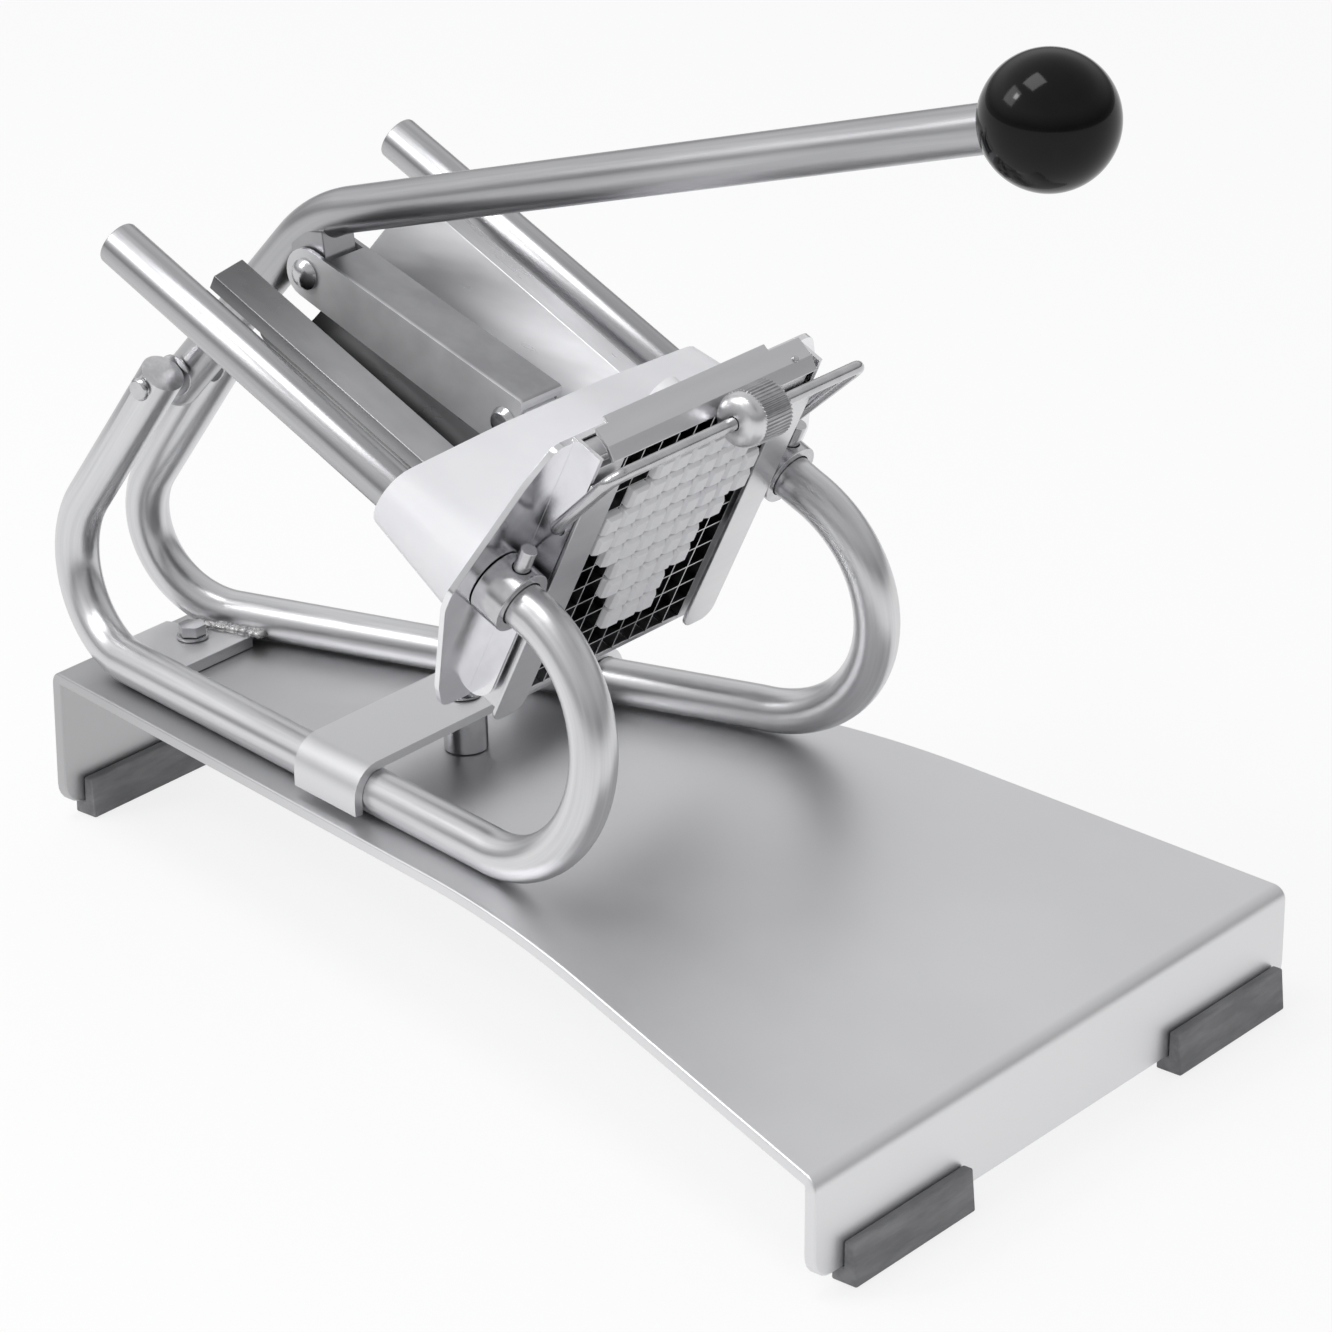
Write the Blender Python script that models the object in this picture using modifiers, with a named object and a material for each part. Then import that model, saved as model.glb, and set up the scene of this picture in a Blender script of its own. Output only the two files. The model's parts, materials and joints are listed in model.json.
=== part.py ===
# French fry cutter. A long lever with a ball grip pushes a white carriage along two
# guide rods and presses a potato through an upright grid of knives.
# Metres, +Z up, +X towards the ball grip, origin at the middle of the footprint.
# The rod frame has x along the guide rods from their rear ends (s), y across, z square
# to the rods (h). Left is the side at negative y.
import math
import bpy
import bmesh
from mathutils import Matrix, Vector

# Clearances and drawing steps
gap = 0.0003
slide_gap = 0.0005
overrun = 0.004
merge_distance = 0.00001
arc_step = math.radians(15)
bend_step = math.radians(9)
round_sides = 32
small_sides = 20
tube_resolution = 5
wire_resolution = 2

# Base plate, one bent sheet
base_sheet = 0.005
base_rear_x = -0.2348
base_front_x = 0.2407
base_kink_x = 0.0663
base_rear_z = 0.0673
base_kink_z = 0.0780
base_front_z = 0.0473
base_rear_half = 0.0412
base_front_half = 0.1462
base_kink_radius = 0.440
base_edge_radius = 0.006
base_corner_radius = 0.010
foot_drop = 0.0065

# Rubber feet, L sections under the flanges
foot_length = 0.070
foot_height = 0.017
foot_wall = 0.0043
foot_flare = 0.0016
foot_left_inset = 0.0512
foot_right_inset = 0.0422
foot_rear_y = 0.0040

# Round bar used for the frame, the rods and the lever
bar_d = 0.018
bar_r = bar_d / 2
rod_y = 0.0786
rod_rear_x = -0.1480
rod_rear_z = 0.2822
rod_slope = math.radians(25)
rod_chamfer = 0.0007
rod_seat = 0.0070

# Frame tubes
front_bend_radius = 0.052
front_flare = 0.012
run_y_at_origin = 0.1015 - 0.0139
run_spread = 0.21
run_kink_x = 0.0663
rear_bend_radius = 0.038
rear_bend_x = -0.1997
top_y = 0.0195
pivot_x = -0.1890
pivot_z = 0.1976
pivot_edge = 0.0055
run_end_slope_share = 1.0

# Rear cross plate with its bolt
cross_sheet = 0.005
cross_rear_x = -0.2240
cross_front_x = -0.1840
cross_rear_inset = 0.0116
cross_front_inset = 0.0106
rear_bolt_x = -0.2027
rear_bolt_inset = 0.0225
bolt_r = 0.003
bolt_flats = 0.010
bolt_head = 0.0042
washer_r = 0.0066
washer_t = 0.0012
nut_t = 0.0050

# Saddle strap and stand-off post
strap_sheet = 0.0035
strap_rear_x = -0.0707
strap_front_x = -0.0317
strap_hook = 0.006
post_x = -0.0467
post_r = 0.00875
post_bolt_head_r = 0.0068
post_bolt_head = 0.0036

# Head plate at the front of the rods
head_sheet = 0.0025
head_s = 0.2060
head_top = 0.0620
head_bottom = -0.0655
head_top_half = 0.0740
head_shoulder_half = 0.0840
head_shoulder_h = 0.0470
head_wide_half = 0.1040
head_wide_h = 0.0030
head_low_half = 0.0860
head_low_h = -0.0520
head_foot_half = 0.0780
head_corner = 0.008
window_top = 0.0515
wall_sheet = 0.002
wall_half = 0.0646
wall_top = 0.0635
wall_bottom = -0.0626
wall_front_s = 0.2186
wall_low_front_s = 0.2150
wall_step_h = -0.0250
wall_low_corner = 0.009
strip_sheet = 0.0015
strip_inner_half = 0.0470
strip_top = 0.0515
strip_bottom = -0.0676
strip_corner = 0.006

# Collars that join rods and frame tubes
collar_r = 0.0130
collar_end_s = 0.2200
collar_joint_s = 0.2130
screw_r = 0.00325
screw_top = 0.0220
screw_s = 0.2140

# Trough under the potato, one folded sheet
trough_sheet = 0.0015
trough_rear_s = 0.0350
trough_lip_half = 0.0623
trough_lip_low = -0.0010
trough_lip_h = 0.0050
trough_edge_half = 0.0482
trough_edge_h = 0.0084
trough_apex_h = -0.0658
trough_radius = 0.020

# Knife cassette
cell = 0.010
columns = 9
rows = 12
blade = 0.0006
blade_depth = 0.009
blade_front_s = 0.2177
grid_low_blade_h = -0.0515
grid_bottom = -0.0615
grid_top = 0.0570
cassette_half = 0.0603
cassette_rear_s = 0.2064
cassette_front_s = 0.2174
cassette_bar = 0.0025
cassette_top = 0.0608
cassette_top_front_s = 0.2150
lip_sheet = 0.0015
lip_half = 0.0590
lip_low_s = 0.2203
lip_low_h = 0.0612
lip_crease_s = 0.2156
lip_crease_h = 0.0646
lip_rear_s = 0.2050
lip_rear_h = 0.0680
lip_tab_left = -0.0515
lip_tab_right = 0.0410
lip_tab_s = 0.2083

# Wire bail and its eccentric knob
wire_r = 0.0025
bail_s = 0.2140
bail_h = 0.0265
bail_tip_half = 0.0610
bail_leg_half = 0.0680
bail_top_half = 0.0730
bail_top_s = 0.2308
bail_top_h = 0.0680
bail_bend = 0.0055
knob_r = 0.0110
knob_collar_r = 0.0104
knob_y = 0.0058
knob_length = 0.0215
knob_collar = 0.0065
knurl_teeth = 30
knurl_depth = 0.0005

# Carriage that rides on the rods, with the peg plate
carriage_rear_s = 0.1556
carriage_front_s = 0.2020
carriage_rear_r = 0.0135
carriage_front_r = 0.0200
carriage_crown = 0.0028
crown_half = 0.0300
arm_low_h = 0.0092
arm_inner_half = 0.0652
ram_front_s = 0.1957
ram_clear = 0.0012
ram_top_h = 0.0110
ram_radius = 0.0185
peg_plate_rear_s = 0.1960
peg_plate_front_s = 0.2015
peg_circle_h = 0.0100
peg_circle_r = 0.0482
peg_flat_h = 0.0512
peg_tab_r = 0.0090
peg_tab_h = 0.0515
peg_pocket_half = 0.0505
peg = 0.0086
peg_tip_s = 0.2215
peg_tip_share = 0.74
peg_tip = 0.0016
peg_margin = 0.0003
peg_rows = 10
tongue_half = 0.0090
tongue_r = 0.0075

# Link between lever and carriage
bolt_link_s = 0.0405
bolt_link_h = -0.0076
pin_link_s = 0.1460
pin_link_h = 0.0025
link_half = 0.0117
link_sheet = 0.0020
link_rear_half_height = 0.0100
link_front_half_height = 0.0120
link_front_end = 0.0055
link_web_start = 0.0075
link_pin_r = 0.0040
dome_head_r = 0.0062
dome_head = 0.0040

# Lever
lever_low_angle = math.radians(48.7)
lever_high_angle = math.radians(18.0)
lever_low_end = 0.0200
lever_corner_length = 0.1080
lever_bend_radius = 0.066
lever_reach = 0.3575
lug_half = 0.0090
lug_r = 0.0088
ball_r = 0.0250
ball_sides = 32
ball_rings = 16
ball_bore = 0.0040
pivot_pin_r = 0.0030
pivot_head_r = 0.0048
pivot_head = 0.0025
spacer_r = 0.0085

# Colour, roughness, metallic
finishes = {
    "satin_steel": ((0.66, 0.66, 0.68), 0.38, 1.0),
    "base_steel": ((0.70, 0.70, 0.72), 0.48, 1.0),
    "polished_steel": ((0.72, 0.72, 0.74), 0.14, 1.0),
    "knife_steel": ((0.75, 0.75, 0.77), 0.25, 1.0),
    "white_plastic": ((0.86, 0.86, 0.88), 0.42, 0.0),
    "black_plastic": ((0.012, 0.012, 0.014), 0.12, 0.0),
    "grey_rubber": ((0.09, 0.09, 0.095), 0.70, 0.0),
}

# Frames and directions
rod_frame = Matrix.Translation((rod_rear_x, 0, rod_rear_z)) @ Matrix.Rotation(rod_slope, 4, "Y")
rod_along = Vector((math.cos(rod_slope), 0, -math.sin(rod_slope)))
rod_up = Vector((math.sin(rod_slope), 0, math.cos(rod_slope)))
across_rods = Matrix(((0, 0, 1, 0), (1, 0, 0, 0), (0, 1, 0, 0), (0, 0, 0, 1)))
sideways = Matrix.Rotation(math.pi / 2, 4, "X")
turn_to_x = Matrix.Rotation(math.pi / 2, 4, "Y")
turn_to_y = Matrix.Rotation(-math.pi / 2, 4, "X")
pivot = Vector((pivot_x, 0, pivot_z))
sides = (("left", -1), ("right", 1))


def clear_scene():
    for item in list(bpy.data.objects):
        bpy.data.objects.remove(item)


def make_collection(name):
    collection = bpy.data.collections.new(name)
    bpy.context.scene.collection.children.link(collection)
    return collection


def make_material(name):
    colour, roughness, metallic = finishes[name]
    material = bpy.data.materials.new(name)
    material.use_nodes = True
    shader = material.node_tree.nodes["Principled BSDF"]
    shader.inputs["Base Color"].default_value = (*colour, 1)
    shader.inputs["Roughness"].default_value = roughness
    shader.inputs["Metallic"].default_value = metallic
    material.diffuse_color = (*colour, 1)
    return material


clear_scene()
parts = make_collection("french_fry_cutter")
cutters = make_collection("cutters")
shades = {}


def move_to(item, collection):
    for old in list(item.users_collection):
        old.objects.unlink(item)
    collection.objects.link(item)


def finish(item, name, finish_name, smooth=True):
    item.name = name
    item.data.name = name
    move_to(item, parts)
    own = make_material(finish_name)
    own.name = name + "_" + finish_name
    item.data.materials.clear()
    item.data.materials.append(own)
    if smooth:
        item.data.shade_smooth()
        item.data.set_sharp_from_angle(angle=math.radians(35))
    return item


def boolean(item, other, operation):
    move_to(other, cutters)
    other.hide_render = True
    other.display_type = "WIRE"
    step = item.modifiers.new(operation.lower(), "BOOLEAN")
    step.operation = operation
    step.solver = "EXACT"
    step.object = other
    return item


def cut(item, *others):
    for other in others:
        boolean(item, other, "DIFFERENCE")
    return item


def add(item, *others):
    for other in others:
        boolean(item, other, "UNION")
    return item


def place(item, frame, point=(0, 0, 0), turn=Matrix()):
    item.matrix_world = frame @ Matrix.Translation(point) @ turn
    return item


def box(low, high, frame=Matrix()):
    bpy.ops.mesh.primitive_cube_add(size=1)
    item = bpy.context.object
    size = Vector(high) - Vector(low)
    item.data.transform(Matrix.Diagonal((*size, 1)))
    return place(item, frame, (Vector(high) + Vector(low)) / 2)


def cylinder(radius, length, point, frame=Matrix(), turn=Matrix(), count=round_sides):
    bpy.ops.mesh.primitive_cylinder_add(vertices=count, radius=radius, depth=length)
    return place(bpy.context.object, frame, point, turn)


def mesh_object(name):
    item = bpy.data.objects.new(name, bpy.data.meshes.new(name))
    bpy.context.scene.collection.objects.link(item)
    return item


def turned(profile, point, frame=Matrix(), turn=Matrix(), count=round_sides):
    item = mesh_object("turned")
    sketch = bmesh.new()
    corners = [sketch.verts.new((radius, 0, height)) for radius, height in profile]
    for first, second in zip(corners, corners[1:]):
        sketch.edges.new((first, second))
    sketch.to_mesh(item.data)
    sketch.free()
    screw = item.modifiers.new("screw", "SCREW")
    screw.steps = count
    screw.render_steps = count
    screw.use_merge_vertices = True
    screw.merge_threshold = merge_distance
    screw.use_smooth_shade = True
    return place(item, frame, point, turn)


def as_mesh(curve_item):
    bpy.context.view_layer.update()
    graph = bpy.context.evaluated_depsgraph_get()
    mesh = bpy.data.meshes.new_from_object(curve_item.evaluated_get(graph))
    item = bpy.data.objects.new("formed", mesh)
    bpy.context.scene.collection.objects.link(item)
    item.matrix_world = curve_item.matrix_world
    bpy.data.objects.remove(curve_item)
    sketch = bmesh.new()
    sketch.from_mesh(mesh)
    bmesh.ops.remove_doubles(sketch, verts=sketch.verts, dist=merge_distance)
    sketch.to_mesh(mesh)
    sketch.free()
    return item


def curve_object(lines, closed, flat):
    curve = bpy.data.curves.new("path", "CURVE")
    curve.dimensions = "2D" if flat else "3D"
    for points in lines:
        spline = curve.splines.new("POLY")
        spline.points.add(len(points) - 1)
        for target, point in zip(spline.points, points):
            target.co = (*Vector(point).to_3d(), 1)
        spline.use_cyclic_u = closed
    item = bpy.data.objects.new("path", curve)
    bpy.context.scene.collection.objects.link(item)
    return item


def plate(outline, thickness, frame, holes=()):
    item = curve_object([outline, *holes], True, True)
    item.data.fill_mode = "BOTH"
    item.data.extrude = thickness / 2
    item.matrix_world = frame
    return as_mesh(item)


def rod_through(points, radius, resolution, frame=Matrix(), widths=None):
    item = curve_object([points], False, False)
    item.data.bevel_depth = radius
    item.data.bevel_resolution = resolution
    item.data.use_fill_caps = True
    if widths:
        for target, width in zip(item.data.splines[0].points, widths):
            target.radius = width
    item.matrix_world = frame
    return as_mesh(item)


def arc(centre, radius, start, end, step=arc_step):
    count = max(2, math.ceil(abs(end - start) / step))
    angles = [start + (end - start) * index / count for index in range(count + 1)]
    return [Vector(centre) + radius * Vector((math.cos(a), math.sin(a))) for a in angles]


def rounded(points, radii, closed=True, step=arc_step):
    shape = [Vector(point) for point in points]
    result = []
    for index, point in enumerate(shape):
        radius = radii[index]
        if radius == 0 or (not closed and index in (0, len(shape) - 1)):
            result.append(point)
            continue
        before = (shape[index - 1] - point).normalized()
        after = (shape[(index + 1) % len(shape)] - point).normalized()
        half = before.angle(after) / 2
        middle = point + (before + after).normalized() * radius / math.sin(half)
        first = point + before * radius / math.tan(half) - middle
        last = point + after * radius / math.tan(half) - middle
        count = max(2, math.ceil(first.angle(last) / step))
        turn = first.angle(last)
        for number in range(count + 1):
            share = number / count
            first_part = first * math.sin((1 - share) * turn)
            last_part = last * math.sin(share * turn)
            result.append(middle + (first_part + last_part) / math.sin(turn))
    return result


def mirrored(half):
    return list(half) + [Vector((-x, y)) for x, y in reversed([tuple(p) for p in half])]


def bent_sheet(lines, thickness, side, frame=Matrix()):
    """Sheet through two equal lines of points, thickened on one side."""
    count = len(lines[0])
    bpy.ops.mesh.primitive_grid_add(x_subdivisions=count - 1, y_subdivisions=1, size=2)
    item = bpy.context.object
    for vertex in item.data.vertices:
        index = round((vertex.co.x + 1) / 2 * (count - 1))
        vertex.co = lines[0 if vertex.co.y < 0 else 1][index]
    shell = item.modifiers.new("thickness", "SOLIDIFY")
    shell.thickness = thickness
    shell.offset = side
    shell.use_even_offset = True
    return place(item, frame)


def hexagon(flats, height, point, frame=Matrix(), turn=Matrix()):
    radius = flats / math.sqrt(3)
    return cylinder(radius, height, point, frame, turn, 6)


def ring(outer, inner, thickness, point, frame=Matrix(), turn=Matrix(), count=round_sides):
    half = thickness / 2
    profile = [(inner, half), (outer, half), (outer, -half), (inner, -half), (inner, half)]
    return turned(profile, point, frame, turn, count)


# Shared places worked out from the driving sizes
run_slope = (base_kink_z - base_rear_z) / (base_kink_x - base_rear_x)
run_angle = math.atan(run_slope)


def base_top(x):
    if x <= base_kink_x:
        return base_kink_z + run_slope * (x - base_kink_x)
    fall = (base_kink_z - base_front_z) / (base_front_x - base_kink_x)
    return base_kink_z - fall * (x - base_kink_x)


def base_half(x):
    share = (x - base_rear_x) / (base_front_x - base_rear_x)
    return base_rear_half + share * (base_front_half - base_rear_half)


def run_axis(x):
    return base_top(x) + (bar_r + gap) / math.cos(run_angle)


def run_y(x):
    return run_y_at_origin + run_spread * (x - run_kink_x)


def on_base(x, y=0):
    """Frame on the top of the sheet, square to it, for what is bolted through."""
    return Matrix.Translation((x, y, base_top(x))) @ Matrix.Rotation(-run_angle, 4, "Y")


def on_rods(s, y, h):
    return rod_frame @ Vector((s, y, h))


bolt_place = on_rods(bolt_link_s, 0, bolt_link_h)


def build_base():
    top = [(base_rear_x, foot_drop), (base_rear_x, base_rear_z), (base_kink_x, base_kink_z),
           (base_front_x, base_front_z), (base_front_x, foot_drop)]
    radii = [0, base_edge_radius, base_kink_radius, base_edge_radius, 0]
    profile = rounded(top, radii, False, bend_step / 2)
    lines = [[(x, side * base_half(x), z) for x, z in profile] for _, side in sides]
    item = bent_sheet(lines, base_sheet, -1)
    sketch = bmesh.new()
    sketch.from_mesh(item.data)
    corners = [v for v in sketch.verts if v.co.z < foot_drop + merge_distance]
    bmesh.ops.bevel(sketch, geom=corners, offset=base_corner_radius, segments=4,
                    profile=0.5, affect="VERTICES")
    sketch.to_mesh(item.data)
    sketch.free()
    for x, y in ((rear_bolt_x, run_y(rear_bolt_x) - rear_bolt_inset), (post_x, 0)):
        cut(item, cylinder(bolt_r + gap, 2 * base_sheet + 2 * overrun, (0, 0, 0), on_base(x, y),
                           count=small_sides))
    finish(item, "base_plate", "base_steel")


def build_foot(name, x, y, facing):
    inner = base_sheet / 2 + gap
    outer = inner + foot_wall
    outline = [(-base_sheet / 2, 0), (outer + foot_flare, 0), (outer, foot_height),
               (inner, foot_height), (inner, foot_drop - gap), (-base_sheet / 2, foot_drop - gap)]
    middle = x - facing * base_sheet / 2
    frame = Matrix.Translation((middle, y, 0)) @ sideways
    finish(plate(outline, foot_length, frame), name, "grey_rubber", False)


def frame_path(side):
    """Axis of one frame tube from its collar to its top end."""
    bend_centre = front_bend_centre()
    points = [on_rods(collar_joint_s + gap, side * rod_y, 0)]
    start = math.pi / 2 - rod_slope
    end = -math.pi / 2 - run_angle
    turn = start - end
    length = front_bend_radius * turn
    end_x = bend_centre.x + front_bend_radius * math.cos(end)
    count = math.ceil(turn / bend_step)
    for index in range(count + 1):
        t = index / count
        angle = start - turn * t
        x = bend_centre.x + front_bend_radius * math.cos(angle)
        z = bend_centre.y + front_bend_radius * math.sin(angle)
        rise = (t ** 3 - 2 * t ** 2 + t) * front_flare
        blend = (3 - 2 * t) * t ** 2
        fall = (t ** 3 - t ** 2) * -run_spread * length * run_end_slope_share
        y = rod_y + (run_y(end_x) - rod_y) * blend + rise + fall
        points.append(Vector((x, side * y, z)))
    centre, tangent = rear_bend()
    start = -math.pi / 2 - run_angle
    end = tangent - 2 * math.pi
    begin_x = centre.x + rear_bend_radius * math.cos(start)
    count = math.ceil(abs(end - start) / bend_step)
    for index in range(count + 1):
        t = index / count
        angle = start + (end - start) * t
        x = centre.x + rear_bend_radius * math.cos(angle)
        z = centre.y + rear_bend_radius * math.sin(angle)
        y = top_y + (run_y(begin_x) - top_y) * (1 - t) ** 2
        points.append(Vector((x, side * y, z)))
    along = Vector((math.sin(tangent), -math.cos(tangent)))
    tip = Vector((pivot_x, pivot_z)) + along * pivot_edge
    points.append(Vector((tip.x, side * top_y, tip.y)))
    return points


def front_bend_centre():
    """Centre of the front bend, tangent to the rod line and to the lower run."""
    rod_normal = Vector((math.sin(rod_slope), math.cos(rod_slope)))
    rod_offset = rod_normal.dot(Vector((rod_rear_x, rod_rear_z))) - front_bend_radius
    run_normal = Vector((-math.sin(run_angle), math.cos(run_angle)))
    run_point = Vector((base_kink_x, run_axis(base_kink_x)))
    run_offset = run_normal.dot(run_point) + front_bend_radius
    solve = Matrix((rod_normal, run_normal)).inverted()
    return solve @ Vector((rod_offset, run_offset))


def rear_bend():
    """Centre of the rear bend and the angle where the upright leaves it for the pivot."""
    z = run_axis(rear_bend_x) + rear_bend_radius / math.cos(run_angle)
    centre = Vector((rear_bend_x, z))
    reach = Vector((pivot_x, pivot_z)) - centre
    tangent = math.atan2(reach.y, reach.x) + math.acos(rear_bend_radius / reach.length)
    return centre, tangent


def build_frame_tubes():
    for name, side in sides:
        item = rod_through(frame_path(side), bar_r, tube_resolution)
        hole = cylinder(pivot_pin_r + gap, bar_d + 2 * overrun, (pivot_x, side * top_y, pivot_z),
                        turn=turn_to_y, count=small_sides)
        cut(item, hole)
        finish(item, "frame_tube_" + name, "satin_steel")


def build_rear_fixing():
    middle = (cross_rear_x + cross_front_x) / 2
    rear = cross_rear_x - middle
    front = cross_front_x - middle
    rear_half = run_y(cross_rear_x) - cross_rear_inset
    front_half = run_y(cross_front_x) - cross_front_inset
    outline = [(rear, -rear_half), (front, -front_half), (front, front_half), (rear, rear_half)]
    level = gap + cross_sheet / 2
    item = plate(outline, cross_sheet, on_base(middle) @ Matrix.Translation((0, 0, level)))
    frame = on_base(rear_bolt_x, run_y(rear_bolt_x) - rear_bolt_inset)
    cut(item, cylinder(bolt_r + gap, cross_sheet + overrun, (0, 0, level), frame,
                       count=small_sides))
    finish(item, "rear_cross_plate", "satin_steel")
    seat = 2 * gap + cross_sheet
    washer = ring(washer_r, bolt_r + gap, washer_t, (0, 0, seat + washer_t / 2), frame)
    finish(washer, "rear_washer", "polished_steel")
    head_low = seat + washer_t + gap
    head = hexagon(bolt_flats, bolt_head, (0, 0, head_low + bolt_head / 2), frame)
    shank = cylinder(bolt_r, head_low - bolt_end() + overrun / 2,
                     (0, 0, (head_low + bolt_end() + overrun / 2) / 2), frame, count=small_sides)
    finish(add(head, shank), "rear_bolt", "polished_steel")
    build_nut("rear_nut", frame)


def bolt_end():
    """Level of a bolt's lower end, just past its nut."""
    return -base_sheet - 2 * gap - nut_t


def build_nut(name, frame):
    middle = -base_sheet - gap - nut_t / 2
    nut = hexagon(bolt_flats, nut_t, (0, 0, middle), frame)
    hole = cylinder(bolt_r + gap, nut_t + overrun, (0, 0, middle), frame, count=small_sides)
    finish(cut(nut, hole), name, "polished_steel")


def build_strap():
    frame = on_base(post_x)
    axis = bar_r + gap
    under = axis + bar_r + gap
    lines = []
    for x in (strap_rear_x, strap_front_x):
        y = run_y(x)
        corner = arc((y, axis), axis, math.pi / 2, 0)
        half = [Vector((0, under))] + corner + [Vector((y + axis, axis - strap_hook))]
        full = [Vector((-p.x, p.y)) for p in reversed(half)] + half[1:]
        lines.append([(x - post_x, p.x, p.y) for p in full])
    item = bent_sheet(lines, strap_sheet, -1, frame)
    cut(item, cylinder(bolt_r + gap, strap_sheet + 2 * overrun, (0, 0, under + strap_sheet / 2),
                       frame, count=small_sides))
    finish(item, "saddle_strap", "satin_steel")
    post = ring(post_r, bolt_r + gap, under - 2 * gap, (0, 0, under / 2), frame)
    finish(post, "standoff_post", "polished_steel")
    seat = under + strap_sheet + gap
    bottom = bolt_end() - seat
    profile = [(0, post_bolt_head), (post_bolt_head_r * 0.6, post_bolt_head * 0.8),
               (post_bolt_head_r, post_bolt_head * 0.25), (post_bolt_head_r, 0), (bolt_r, 0),
               (bolt_r, bottom), (0, bottom)]
    finish(turned(profile, (0, 0, seat), frame), "post_bolt", "polished_steel")
    build_nut("post_nut", frame)


def build_head_plate():
    half = [(head_foot_half, head_bottom), (head_low_half, head_low_h),
            (head_wide_half, head_wide_h - head_corner), (head_wide_half, head_wide_h),
            (head_shoulder_half, head_shoulder_h), (head_top_half, head_top)]
    radii = [head_corner, 0, head_corner, head_corner, 0, head_corner]
    window_half = wall_half - wall_sheet + gap
    inner = [(window_half, window_top), (window_half, head_bottom)]
    outline = rounded([Vector(p) for p in inner + half] +
                      [Vector((-x, y)) for x, y in reversed(inner + half)],
                      [0, 0] + radii + list(reversed(radii)) + [0, 0])
    middle = head_s - head_sheet / 2
    frame = rod_frame @ Matrix.Translation((middle, 0, 0)) @ across_rods
    item = plate(outline, head_sheet, frame)
    for _, side in sides:
        wall = [(middle, wall_bottom), (wall_low_front_s, wall_bottom),
                (wall_low_front_s, wall_step_h), (wall_front_s, wall_step_h),
                (wall_front_s, wall_top), (middle, wall_top)]
        shape = rounded(wall, [0, wall_low_corner, 0, 0, 0, 0])
        centre = side * (wall_half - wall_sheet / 2)
        wall_frame = rod_frame @ Matrix.Translation((0, centre, 0)) @ sideways
        add(item, plate(shape, wall_sheet, wall_frame))
        cut(item, cylinder(wire_r + gap, wall_sheet + 2 * overrun, (bail_s, centre, bail_h),
                           rod_frame, turn_to_y, small_sides))
        cut(item, cylinder(bar_r + gap, head_sheet + 2 * overrun, (middle, side * rod_y, 0),
                           rod_frame, turn_to_x))
    finish(item, "head_plate", "polished_steel")


def build_guide_strips():
    for name, side in sides:
        width = wall_half - strip_inner_half
        outline = rounded([(-width / 2, strip_bottom), (width / 2, strip_bottom),
                           (width / 2, strip_top), (-width / 2, strip_top)],
                          [strip_corner, strip_corner, 0, 0])
        centre = side * (wall_half - width / 2)
        middle = wall_front_s + gap + strip_sheet / 2
        frame = rod_frame @ Matrix.Translation((middle, centre, 0)) @ across_rods
        finish(plate(outline, strip_sheet, frame), "guide_strip_" + name, "satin_steel", False)


def build_collars_and_rods():
    for name, side in sides:
        start = head_s + gap
        length = collar_end_s - start
        collar = ring(collar_r, bar_r + gap, length, (start + length / 2, side * rod_y, 0),
                      rod_frame, turn_to_x)
        hole_length = collar_r
        cut(collar, cylinder(screw_r + gap, hole_length, (screw_s, side * rod_y, collar_r),
                             rod_frame, count=small_sides))
        finish(collar, "collar_" + name, "polished_steel")
        low = bar_r + gap
        screw = cylinder(screw_r, screw_top - low, (screw_s, side * rod_y, (screw_top + low) / 2),
                         rod_frame, count=small_sides)
        finish(screw, "set_screw_" + name, "polished_steel")
        end = collar_joint_s - gap
        profile = [(0, end), (bar_r, end), (bar_r, rod_chamfer), (bar_r - rod_chamfer, 0), (0, 0)]
        rod = turned(profile, (0, side * rod_y, 0), rod_frame, turn_to_x)
        finish(rod, "guide_rod_" + name, "satin_steel")


def trough_points():
    half = [(trough_lip_half, trough_lip_low), (trough_lip_half, trough_lip_h),
            (trough_edge_half, trough_edge_h)]
    points = [Vector((-y, h)) for y, h in half] + [Vector((0, trough_apex_h))]
    points += [Vector((y, h)) for y, h in reversed(half)]
    radii = [0] * len(half) + [trough_radius] + [0] * len(half)
    return rounded(points, radii, False)


def build_trough():
    profile = trough_points()
    lines = [[(s, p.x, p.y) for p in profile] for s in (trough_rear_s, head_s)]
    finish(bent_sheet(lines, trough_sheet, 1, rod_frame), "trough", "polished_steel")


def build_grid():
    half = cell * columns / 2
    column_places = [cell * index - half for index in range(columns + 1)]
    row_places = [grid_low_blade_h + cell * index for index in range(rows - 1)]
    low = grid_bottom + gap
    high = grid_top - gap
    reach = half + blade
    edge = blade / 2
    outline = [(-reach, row_places[0] - edge)]
    for column in column_places:
        outline += [(column - edge, row_places[0] - edge), (column - edge, low),
                    (column + edge, low), (column + edge, row_places[0] - edge)]
    outline += [(reach, row_places[0] - edge)]
    for row, after in zip(row_places, row_places[1:]):
        outline += [(reach, row + edge), (half + edge, row + edge),
                    (half + edge, after - edge), (reach, after - edge)]
    outline += [(reach, row_places[-1] + edge)]
    for column in reversed(column_places):
        outline += [(column + edge, row_places[-1] + edge), (column + edge, high),
                    (column - edge, high), (column - edge, row_places[-1] + edge)]
    outline += [(-reach, row_places[-1] + edge)]
    for after, row in zip(reversed(row_places[1:]), reversed(row_places[:-1])):
        outline += [(-reach, after - edge), (-half - edge, after - edge),
                    (-half - edge, row + edge), (-reach, row + edge)]
    holes = []
    for y in column_places[:-1]:
        for h in row_places[:-1]:
            holes.append([(y + edge, h + edge), (y + cell - edge, h + edge),
                          (y + cell - edge, h + cell - edge), (y + edge, h + cell - edge)])
    middle = blade_front_s - blade_depth / 2
    frame = rod_frame @ Matrix.Translation((middle, 0, 0)) @ across_rods
    finish(plate(clean(outline), blade_depth, frame, holes), "knife_grid", "knife_steel", False)


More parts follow.
